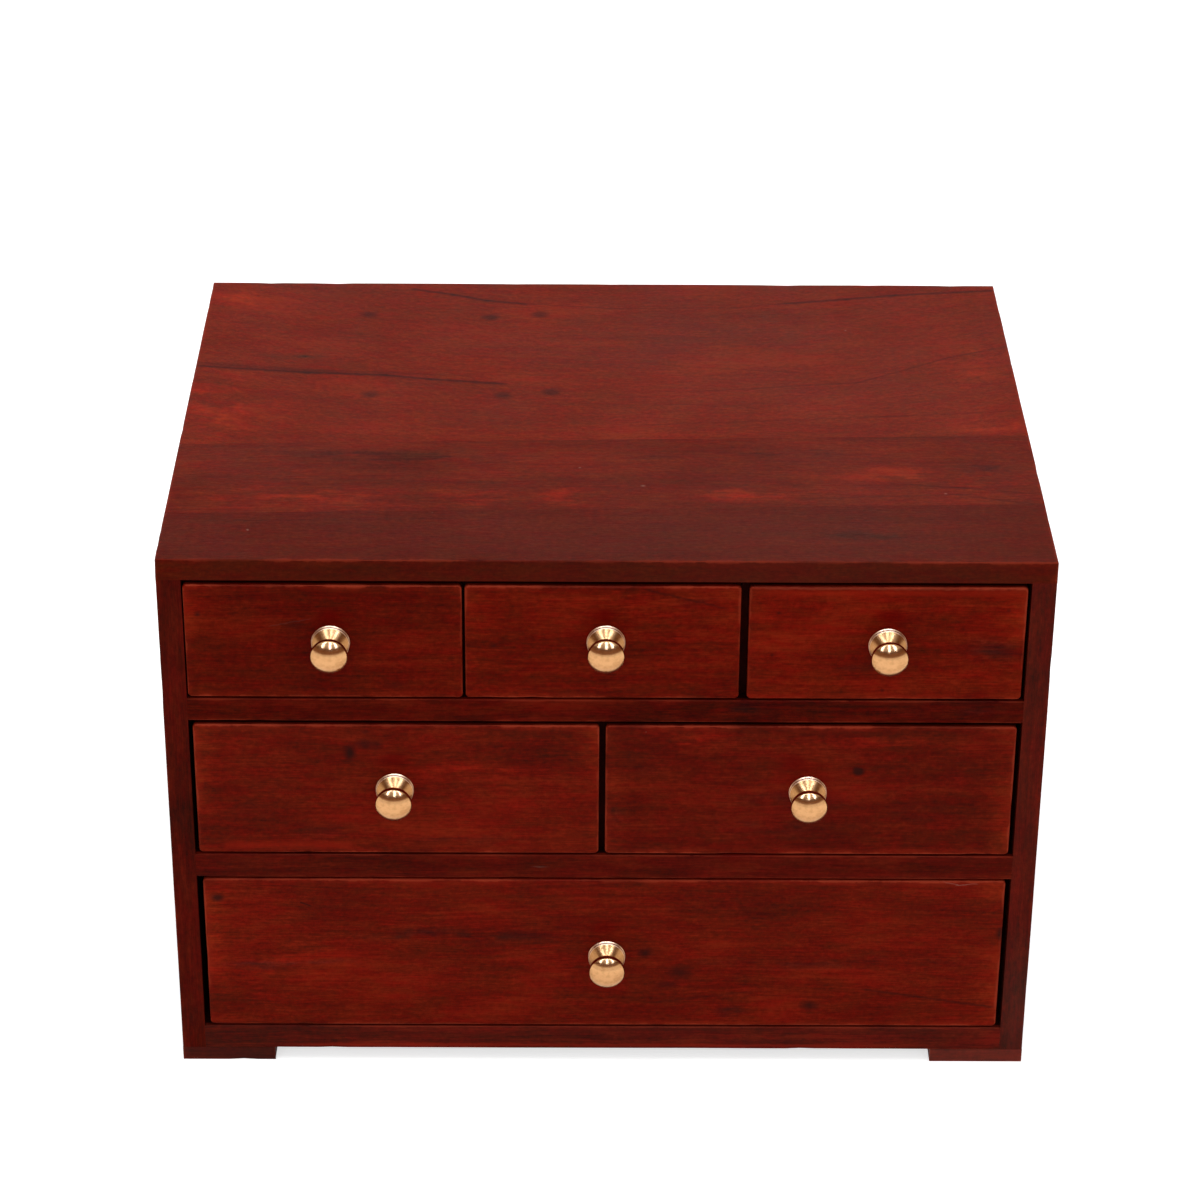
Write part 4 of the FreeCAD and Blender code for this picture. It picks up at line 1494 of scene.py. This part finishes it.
@dataclass
class Case:
    """The case: top, sides, shelves, dividers, back and feet.

    Attributes:
        nodes: The frame's nodes by name.
        body: The body that it all rides on.
        tone: How light the case took the stain.
        top_gloss: The index of refraction of the varnish on the top.
        back_recess: How far the back panel lies inside the case's rear edges.
        nail_depth: How far the nails' middles lie inside the back panel.
    """

    nodes: Nodes
    body: str = "cabinet"
    tone: float = 0.68
    top_gloss: float = 1.089
    back_recess: float = 0.35 * MM
    nail_depth: float = 0.1 * MM

    FRAME = {"wear_mm": 0.6, "wear": 0.28, "rub": 0.12, "glow": 0.1}
    TOP = {"wear_mm": 0.9, "wear": 0.36, "rub": 0.12, "warmth": 0.50}

    REAR_MARKS = (
        Spot((-190, 12), (52, 62), 0.30, Tint.BRIGHT),
        Spot((-186, 138), (56, 22), 0.24, Tint.BRIGHT),
        Spot((190, 58), (44, 44), 0.20, Tint.BRIGHT),
        Spot((188, -4), (40, 14), 0.22, Tint.BRIGHT),
        Spot((90, 50), (210, 150), 0.024, Tint.PALE),
        Spot((40, 95), (120, 60), 0.16),
        Spot((-152, 70), (26, 5), 0.60),
        *grown_line(
            ((-199.5, 58.6), (-144.5, 51.4), (-107, 48.9), (-84.5, 44.4), (-50, 39.8)),
            2.1,
            0.74,
        ),
        Streak((-205, 63), (-120, 50), 3, 0.40),
        Streak((-150, 55), (-60, 48), 1.6, 0.30),
        *grown_line(((-97, 150.4), (-77, 144.4), (-59.5, 136.9), (-40, 133.2)), 2.1, 0.70),
        *grown_line(((-42, 133.6), (5.5, 128.1), (65.5, 129.4), (97, 136.4)), 1.3, 0.26),
        *grown_line(((92, 135), (123, 140.6), (148, 145.6), (205, 153)), 2.1, 0.66),
        *grown_line(((199, 84.6), (168, 70.6), (123, 42.6), (48, 32.6)), 1.3, 0.34),
        *grown_line(((199, 12.6), (135, 5.6), (23, -4.4)), 1.3, 0.28),
        Streak((20, 62.6), (118, 50.6), 1.4, 0.20),
        *(Spot(at, (6.6, 5.6), 0.62, hardness=0.25) for at in KNOTS),
        Spot((120.6, 102.9), (0.9, 0.9), 0.5, Tint.PALE),
    )
    MIDDLE_MARKS = (
        Spot((-95, -38.4), (110, 10.5), 0.40, hardness=0.1),
        Spot((60, -35.4), (110, 8.5), 0.28, hardness=0.1),
        Spot((-141, -78), (58, 20), 0.46, Tint.BRIGHT),
        Spot((-60, -79), (30, 14), 0.48, Tint.BRIGHT),
        Spot((-18, -79), (24, 14), 0.46, Tint.BRIGHT),
        Spot((60.5, -73.6), (36, 14), 0.48, Tint.BRIGHT),
        Spot((131.5, -55), (30, 12), 0.40, Tint.BRIGHT),
        Spot((175, -67), (36, 12), 0.42, Tint.BRIGHT),
        Spot((100, -70), (200, 90), 0.016, Tint.PALE),
        Spot((173, -49.4), (16, 8.5), 0.52),
        *grown_line(((134, -64.4), (161, -68.4), (203, -75.4)), 1.2, 0.36),
        *grown_line(((92, -79.8), (161, -75.4), (203, -86.4)), 1.2, 0.32),
        Streak((-200, -60), (-40, -66), 1.2, 0.26),
        Spot((17, -67.7), (1.6, 1.2), 0.45, Tint.PALE),
        Spot((-12, -49.7), (1, 1), 0.4, Tint.PALE),
        Spot((155.5, -74.5), (1, 1), 0.5, Tint.PALE),
    )
    FRONT_MARKS = (
        Spot((109, -115), (66, 7), 0.40, hardness=0.1),
        Spot((90, -118), (190, 60), 0.026, Tint.PALE),
        Streak((-210, -140.9), (210, -140.9), 2, 0.26),
        Spot((-161.1, -112.5), (1, 1), 0.5, Tint.PALE),
        Streak((-190, -104.4), (-60, -100.4), 1.2, 0.3),
    )
    LEFT_MARKS = (Spot((-195, 138), (6, 12), 0.4), Spot((-195, 27), (6, 12), 0.4))
    RIGHT_MARKS = (
        Spot((195, 36), (12, 52), 0.36, Tint.BRIGHT),
        Spot((195, 28), (14, 60), 0.045, Tint.PALE),
        Spot((195, 215), (12, 60), 0.14, Tint.BRIGHT),
        Spot((195, 130), (6, 26), 0.22),
    )
    UPPER_SHELF_MARKS = (
        Spot((65.4, 194.7), (14, 6), 0.5, hardness=0.1),
        Spot((158, 194), (40, 8), 0.40),
        Spot((-40, 191), (50, 4), 0.30),
        Spot((-142, 194), (44, 6), 0.14, Tint.BRIGHT),
        Spot((110, 194), (90, 9), 0.22, Tint.BRIGHT),
    )
    LOWER_SHELF_MARKS = (Spot((-30, 110), (5, 0.9), 0.12, Tint.PALE),)
    BASE_MARKS = (
        Streak((-165, 8.9), (165, 8.9), 1.4, 0.45, Tint.BRIGHT),
        Spot((-120, 6), (80, 11), 0.16, Tint.BRIGHT),
    )

    def build(self) -> None:
        """Makes and dresses every piece of the case."""
        self._build_top()
        self._build_sides()
        self._build_shelves()
        self._build_feet()
        self._dress_inside()
        self._build_back()

    def _lay(
        self, node: str, finish: StainedWood, open_low: Sequence[float], open_high: Sequence[float],
        marks: tuple[Mark, ...] = (),
    ) -> None:
        """Makes one board that is worn where it lies open.

        Args:
            node: The board's node.
            finish: Its finish.
            open_low: How far its worn box passes its own, towards each axis's low end.
            open_high: The same towards the high ends.
            marks: Knots, smudges and scratches.
        """
        low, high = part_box(node)
        worn = WornBox(tuple(low - Vector(open_low)), tuple(high + Vector(open_high)))
        Board(node, self.body, finish, worn, marks).build(self.nodes)

    def _build_top(self) -> None:
        """Makes the three boards of the top, which are worn round the whole case."""
        low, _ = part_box("front_left_foot")
        _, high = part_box("rear_right_foot")
        _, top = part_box("top_board_rear")
        whole = WornBox(tuple(low), (high.x, high.y, top.z))
        slight = {"gloss": self.top_gloss, **self.TOP}
        bent = Sweep(0.02, 0.55)
        rear = StainedWood(1.34, 11, contrast=0.50, glow=0.10, sweep=bent, **slight)
        middle = StainedWood(1.04, 23, contrast=0.70, glow=0.12, **slight)
        front = StainedWood(0.82, 37, contrast=0.42, glow=0.0, **slight)
        for name, finish, marks in (
            ("rear", rear, self.REAR_MARKS),
            ("middle", middle, self.MIDDLE_MARKS),
            ("front", front, self.FRONT_MARKS),
        ):
            node = f"top_board_{name}"
            Board(node, self.body, finish, whole, marks, Face.TOP).build(self.nodes)

    def _build_sides(self) -> None:
        """Makes the two side boards, which run on past the worn box above, below and inside."""
        # Only the left side has painted shade on its face inside the gaps.
        left = StainedWood(
            0.93 * self.tone, 41, Grain.ALONG_Z, contrast=1.3, gap_shade=0.9, film=0.008, **self.FRAME
        )
        right = StainedWood(
            1.08 * self.tone, 53, Grain.ALONG_Z, contrast=1.2, film=0.028, **self.FRAME
        )
        self._lay("left_side", left, (0.0, 0.0, FAR), (FAR, 0.0, FAR), self.LEFT_MARKS)
        self._lay("right_side", right, (FAR, 0.0, FAR), (0.0, 0.0, FAR), self.RIGHT_MARKS)

    def _build_shelves(self) -> None:
        """Makes the two shelves and the base board."""
        for node, seed, lightness, contrast, film, marks in (
            ("upper_shelf", 67, 0.95, 1.5, 0.0, self.UPPER_SHELF_MARKS),
            ("lower_shelf", 71, 1.0, 1.4, 0.008, self.LOWER_SHELF_MARKS),
            ("base_board", 83, 1.16, 2.0, 0.028, self.BASE_MARKS),
        ):
            finish = StainedWood(
                lightness * self.tone, seed, contrast=contrast, gap_shade=0.8, film=film, **self.FRAME
            )
            self._lay(node, finish, (FAR, 0.0, 0.0), (FAR, FAR, 0.0), marks)

    def _build_feet(self) -> None:
        """Makes the four corner feet."""
        for corner, seed, lightness, film in (
            ("front_left", 91, 0.74, 0.050),
            ("front_right", 92, 1.50, 0.115),
            ("rear_left", 93, 1.0, 0.04),
            ("rear_right", 94, 1.2, 0.06),
        ):
            finish = StainedWood(lightness * self.tone, seed, film=film, **self.FRAME)
            self._lay(f"{corner}_foot", finish, NOWHERE, (0.0, 0.0, FAR))

    def _dress_inside(self) -> None:
        """Dresses the dividers and the dowels."""
        for seed, node in (
            (101, "left_upper_divider"), (102, "right_upper_divider"), (103, "middle_divider")
        ):
            low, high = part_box(node)
            # The dividers are stained far darker than the case, as painted shade in the gaps between
            # the drawers.
            finish = StainedWood(0.3 * self.tone, seed, Grain.ALONG_Y, wear=0.0, rub=0.0)
            worn = WornBox(tuple(low), tuple(high))
            dress(self.nodes[node], finish.material(f"{node}_stain", worn))
        dress(self.nodes["top_dowels"], PALE_BOARD.material("dowel_wood"))

    def _build_back(self) -> None:
        """Makes the plywood back, a little below the case's rear edges, and nails it."""
        low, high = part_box("back_panel")
        high = Vector((high.x, high.y - self.back_recess, high.z))
        worn = WornBox(tuple(low), tuple(high))
        mesh = HandWork(dent=0.0).work(self.nodes["back_panel"], low, high, worn)
        ply = PlainWood((0.30, 0.135, 0.065), (0.20, 0.075, 0.034), 7)
        panel = add_object("back_panel_finished", mesh, ply.material("back_panel_ply"))
        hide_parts("back_panel")
        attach(panel, self.body)
        BackNails().build(high.y - self.nail_depth)


def drawers() -> list[Drawer]:
    """The six drawers, with the finish and marks of each front.

    Returns:
        The drawers from the upper left to the lower one.
    """
    # The first spot on each front is a dark crimson halo painted above its knob as its shade.
    return [
        Drawer(
            "upper_left",
            StainedWood(0.99, 5, gap_shade=0.8, ends=0.35),
            (
                Spot((-123.3, 243), (9.5, 6), 0.75, Tint.KNOB_SHADE),
                Spot((-182.2, 243.4), (2.2, 2.2), 0.7),
                Spot((-139.1, 237.9), (8, 3.6), 0.42),
                Streak((-151.2, 237), (-131, 241.5), 0.5, 0.05, Tint.PALE),
                Spot((-95, 207), (9, 3), 0.35),
            ),
        ),
        Drawer(
            "upper_middle",
            StainedWood(1.15, 9, gap_shade=0.8, ends=0.4),
            (
                Spot((-1, 243), (9.5, 6), 0.75, Tint.KNOB_SHADE),
                Spot((-50.3, 227.5), (3.4, 2.4), 0.6),
                Spot((44, 249.5), (16, 4.5), 0.4),
                Streak((14, 257.5), (56, 246.5), 1, 0.45),
            ),
        ),
        Drawer(
            "upper_right",
            StainedWood(1.20, 14, gap_shade=0.8, ends=0.3),
            (
                Spot((128, 243), (9.5, 6), 0.75, Tint.KNOB_SHADE),
                Spot((77, 245), (1.5, 1.5), 0.55),
                Spot((179.2, 246.5), (1.4, 1.6), 0.5),
                Spot((74.5, 223.4), (1.5, 1.5), 0.5),
                Spot((124.7, 205.4), (2, 1.3), 0.6),
                Spot((172, 226.4), (22, 9), 0.50),
                Spot((118, 217), (30, 4), 0.34),
                # Painted light: a lit band and a highlight along the top arris.
                Streak((62, 255.2), (190, 255.2), 2.6, 0.42, Tint.BRIGHT),
                Streak((66, 257.4), (184, 257.4), 0.8, 0.40, Tint.BARE_AND_HIGHLIGHT),
            ),
        ),
        Drawer(
            "middle_left",
            StainedWood(1.13, 19, contrast=1.05, gap_shade=0.8, film=0.008, ends=0.5),
            (
                Spot((-97, 168), (9.5, 6), 0.7, Tint.KNOB_SHADE),
                Spot((-116.2, 171.4), (4, 6.6), 0.92, hardness=0.1),
                Spot((-109.3, 176), (7.4, 4.2), 0.70, hardness=0.1),
                Spot((-103.6, 175.6), (3.6, 4), 0.55),
                Spot((-109, 182.4), (3, 1.8), 0.5),
                Spot((-158, 140), (16, 9), 0.32),
                Spot((-128, 130), (22, 8), 0.32),
                Spot((-60, 162), (46, 6), 0.26, Tint.BRIGHT),
                Spot((-15.6, 167.8), (1.4, 1.4), 0.5),
                Spot((-14.2, 146.8), (1.4, 1.4), 0.5),
                Spot((-60, 124), (40, 5), 0.25),
                Streak((-178, 121.5), (-112, 121.5), 3.4, 0.45, Tint.BRIGHT),
                Streak((-82, 125), (-62, 125.6), 0.8, 0.4),
            ),
        ),
        Drawer(
            "middle_right",
            StainedWood(0.98, 26, gap_shade=0.8, film=0.008, ends=0.5),
            (
                Spot((86, 167.5), (10, 6.5), 0.7, Tint.KNOB_SHADE),
                Spot((115.6, 162.4), (3.9, 3), 0.88, hardness=0.4),
                Spot((5, 135), (9, 12), 0.3),
                Spot((80, 133), (60, 9), 0.3),
                Spot((34, 179), (34, 9), 0.42, Tint.BRIGHT),
                Spot((120, 179), (60, 6), 0.30, Tint.BRIGHT),
                Spot((18, 166), (15, 9), 0.45),
                Spot((84, 145), (36, 9), 0.45),
                Spot((150, 140), (30, 9), 0.30),
            ),
        ),
        Drawer(
            "lower",
            StainedWood(1.20, 31, contrast=1.1, gap_shade=0.8, film=0.008, ends=0.4),
            (
                Spot((0, 76.5), (10, 6), 0.6, Tint.KNOB_SHADE),
                Spot((-157, 60), (44, 40), 0.32, Tint.BRIGHT),
                Spot((-75, 71), (95, 6), 0.60),
                Spot((-150, 55), (50, 4), 0.50),
                Spot((110, 57), (90, 5), 0.45),
                Spot((-179.9, 92.3), (4.8, 3.2), 0.85, hardness=0.2),
                Spot((19.5, 62.1), (6.4, 4.6), 0.85),
                Spot((36, 51), (9.5, 6.5), 0.70),
                Spot((30, 44), (9, 4), 0.55),
                Spot((97.7, 32.1), (7.4, 4.6), 0.80),
                Spot((60, 28.5), (11, 4.4), 0.75),
                Spot((186.5, 73.5), (4.4, 5), 0.85, hardness=0.2),
                Streak((-141.5, 90.2), (-136.5, 87.6), 0.7, 0.8),
                Streak((118, 42.5), (190, 30.7), 1.1, 0.5),
                Streak((17.5, 32.9), (74.2, 40.6), 1.2, 0.3),
                Streak((157, 102.2), (165, 100.6), 0.35, 0.5, Tint.PALE),
                Streak((163, 100.2), (174, 101.4), 0.35, 0.5, Tint.PALE),
            ),
        ),
    ]


# ---------------------------------------------------------------------------------------------
# Studio
# ---------------------------------------------------------------------------------------------


@dataclass
class Lamp:
    """A soft box.

    Attributes:
        name: Its name.
        at: Where it hangs.
        aim: What it points at.
        size: Its width and height.
        power: Its power in watts.
        colour: Its colour.
    """

    name: str
    at: tuple[float, float, float]
    aim: tuple[float, float, float]
    size: tuple[float, float]
    power: float
    colour: Colour = (1.0, 1.0, 1.0)

    def hang(self) -> bpy.types.Object:
        """Hangs the lamp.

        Returns:
            The lamp's object.
        """
        data = bpy.data.lights.new(self.name, "AREA")
        data.shape = "RECTANGLE"
        data.size, data.size_y = self.size
        data.energy = self.power
        data.color = self.colour
        lamp = bpy.data.objects.new(self.name, data)
        bpy.context.scene.collection.objects.link(lamp)
        lamp.location = self.at
        towards = Vector(self.aim) - Vector(self.at)
        lamp.rotation_euler = towards.to_track_quat("-Z", "Y").to_euler()
        return lamp


@dataclass
class Camera:
    """The camera.

    Attributes:
        lens: Its lens, in millimetres.
        sensor: The width and height of its sensor, in millimetres.
        at: Where it stands.
        pitch: How far it looks down, in radians.
        yaw: How far it looks to the right.
        roll: How far it is turned about its own axis.
    """

    lens: float = 110.345
    sensor: float = 36.0
    at: tuple[float, float, float] = (-0.013686, -1.570797, 1.043947)
    pitch: float = 0.506076
    yaw: float = 0.0075137
    roll: float = 0.0075123

    def build(self) -> None:
        """Sets the camera up and makes it the scene's."""
        data = bpy.data.cameras.new("camera")
        data.sensor_width = data.sensor_height = self.sensor
        data.sensor_fit = "AUTO"
        data.lens = self.lens
        data.clip_start = 0.05
        camera = bpy.data.objects.new("camera", data)
        bpy.context.scene.collection.objects.link(camera)
        turn = (
            Matrix.Rotation(-self.yaw, 4, "Z")
            @ Matrix.Rotation(math.pi / 2 - self.pitch, 4, "X")
            @ Matrix.Rotation(self.roll, 4, "Z")
        )
        camera.matrix_world = Matrix.Translation(self.at) @ turn
        bpy.context.scene.camera = camera


@dataclass
class Room:
    """The floor and the room's even light, both white wherever they are seen.

    Attributes:
        ambient: The room's even light.
        floor_size: The floor's width.
        floor_colour: The floor's colour.
        floor_glow: What is added to the floor where the camera sees it, to keep it white.
        floor_mirrored: What is added to the floor where a polished thing mirrors it.
    """

    ambient: float = 0.62
    floor_size: float = 9.0
    floor_colour: Colour = (0.80, 0.80, 0.80)
    floor_glow: float = 0.62
    floor_mirrored: float = 0.40

    def build(self) -> None:
        """Sets the light and lays the floor."""
        self._light()
        self._lay_floor()

    def _light(self) -> None:
        """Sets even light on the chest, and white wherever the room is seen."""
        world = bpy.data.worlds.new("room")
        world.use_nodes = True
        bpy.context.scene.world = world
        graph = Graph(world.node_tree)
        path = graph.add("ShaderNodeLightPath").outputs
        seen = graph.math("MAXIMUM", path["Is Camera Ray"], path["Is Glossy Ray"])
        seen = graph.math("MAXIMUM", seen, path["Is Transmission Ray"])
        strength = graph.math("MULTIPLY_ADD", seen, 1.0 - self.ambient, self.ambient)
        feeds = {"Color": (1.0, 1.0, 1.0), "Strength": strength}
        shine = graph.add("ShaderNodeBackground", feeds)
        graph.add("ShaderNodeOutputWorld", {"Surface": shine.outputs[0]})

    def _lay_floor(self) -> None:
        """Lays the pale floor, which keeps the chest's shadow."""
        shape = bmesh.new()
        bmesh.ops.create_grid(shape, x_segments=2, y_segments=2, size=self.floor_size / 2)
        material = bpy.data.materials.new("floor_white")
        material.use_nodes = True
        graph = Graph(material.node_tree)
        path = graph.add("ShaderNodeLightPath").outputs
        lit = graph.product(path["Is Camera Ray"], self.floor_glow)
        mirrored = graph.math("MAXIMUM", path["Is Glossy Ray"], path["Is Transmission Ray"])
        lit = graph.math("MULTIPLY_ADD", mirrored, self.floor_mirrored, lit)
        cloth = graph.add("ShaderNodeBsdfDiffuse", {"Color": self.floor_colour})
        glow = graph.add("ShaderNodeEmission", {"Strength": lit})
        both = graph.add("ShaderNodeAddShader", {0: cloth.outputs[0], 1: glow.outputs[0]})
        graph.add("ShaderNodeOutputMaterial", {"Surface": both.outputs[0]})
        floor = add_object("floor", to_mesh(shape, "floor"), material)


@dataclass
class SoftLight:
    """The soft boxes that light the chest, and the narrow strips that its brass mirrors.

    Attributes:
        middle: What every lamp points at.
        box_power: The power of each of the three boxes in front, in watts.
        overhead_power: The power of the box overhead.
        strip_reach: How far from the chest's middle the strips hang.
        strip_height: How high they hang.
        strip_size: A strip's width and length.
        strip_power: A strip's power.
        strip_colour: A strip's colour.
    """

    middle: tuple[float, float, float] = (0.0, 0.0, 0.15)
    box_power: float = 3.2
    overhead_power: float = 16.0
    strip_reach: float = 1.30
    strip_height: float = 1.72
    strip_size: tuple[float, float] = (0.19, 1.35)
    strip_power: float = 11.0
    strip_colour: Colour = (0.70, 0.95, 1.40)

    BOXES = (("left", -1.15), ("centre", 0.12), ("right", 1.2))  # how far aside each hangs
    STRIPS = (("left", -37.0), ("centre", 2.0), ("right", 35.0))  # its bearing, in degrees

    def build(self) -> None:
        """Hangs the boxes, which the brass doesn't mirror, and the strips, which light nothing."""
        boxes = [Lamp("overhead", (0.0, -0.1, 1.9), self.middle, (1.9, 1.4), self.overhead_power)]
        for name, x in self.BOXES:
            boxes.append(Lamp(name, (x, -2.0, 1.35), self.middle, (0.34, 0.46), self.box_power))
        for lamp in boxes:
            lamp.hang().visible_glossy = False
        for name, bearing in self.STRIPS:
            turn = math.radians(bearing)
            x, y = self.strip_reach * math.sin(turn), -self.strip_reach * math.cos(turn)
            strip = Lamp(
                f"{name}_strip", (x, y, self.strip_height), self.middle,
                self.strip_size, self.strip_power, self.strip_colour,
            )
            strip.hang().visible_diffuse = False


@dataclass
class DarkScreen:
    """A half dome behind the camera, brown and paler overhead, for the brass to mirror.

    Attributes:
        foot: How far out and how high it begins.
        reach: How far away it stands.
        sides: Where it begins and how far round it goes, in degrees.
        steps: How many flat sides it has.
        low: Its colour at its foot.
        high: Its colour overhead.
        grade: The heights between which the one turns into the other.
    """

    foot: Point = (0.78, 0.255)
    reach: float = 2.7
    sides: Point = (172.0, 196.0)
    steps: int = 32
    low: Colour = (0.24, 0.125, 0.075)
    high: Colour = (0.86, 0.80, 0.78)
    grade: Point = (1.5, 2.3)

    RINGS = ((1.0, 1.2), (1.0, 2.6), (0.78, 3.9), (0.52, 4.4))  # share of its reach, and height

    def build(self) -> None:
        """Stands the screen, which only polished things see."""
        shape = bmesh.new()
        rings = []
        first, turn = self.sides
        for reach, height in (self.foot, *((share * self.reach, at) for share, at in self.RINGS)):
            angles = (math.radians(first + turn * i / self.steps) for i in range(self.steps + 1))
            ring = [(reach * math.cos(a), reach * math.sin(a), height) for a in angles]
            rings.append([shape.verts.new(place) for place in ring])
        for lower, upper in zip(rings, rings[1:]):
            for i in range(self.steps):
                shape.faces.new((lower[i], lower[i + 1], upper[i + 1], upper[i]))
        material = bpy.data.materials.new("screen_brown")
        material.use_nodes = True
        graph = Graph(material.node_tree)
        height = graph.axes(graph.add("ShaderNodeTexCoord").outputs["Object"])[2]
        colour = graph.mix(graph.step(height, *self.grade), self.low, self.high)
        cloth = graph.add("ShaderNodeBsdfDiffuse", {"Color": colour})
        graph.add("ShaderNodeOutputMaterial", {"Surface": cloth.outputs[0]})
        screen = add_object("dark_screen", to_mesh(shape, "dark_screen"), material)
        screen.visible_camera = False
        screen.visible_diffuse = False
        screen.visible_transmission = False
        screen.visible_shadow = False


def main() -> None:
    """Loads the frame, dresses the chest and sets the studio."""
    logging.basicConfig(level=logging.INFO, format="%(name)s: %(message)s")
    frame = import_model()
    nodes = frame["nodes"]
    bpy.context.scene.view_settings.view_transform = "Standard"
    for thing in (Camera(), Room(), SoftLight(), DarkScreen()):
        thing.build()
        log.info("set up %s", type(thing).__name__)
    Case(nodes).build()
    for drawer in drawers():
        drawer.build(nodes)


if __name__ == "__main__":
    main()
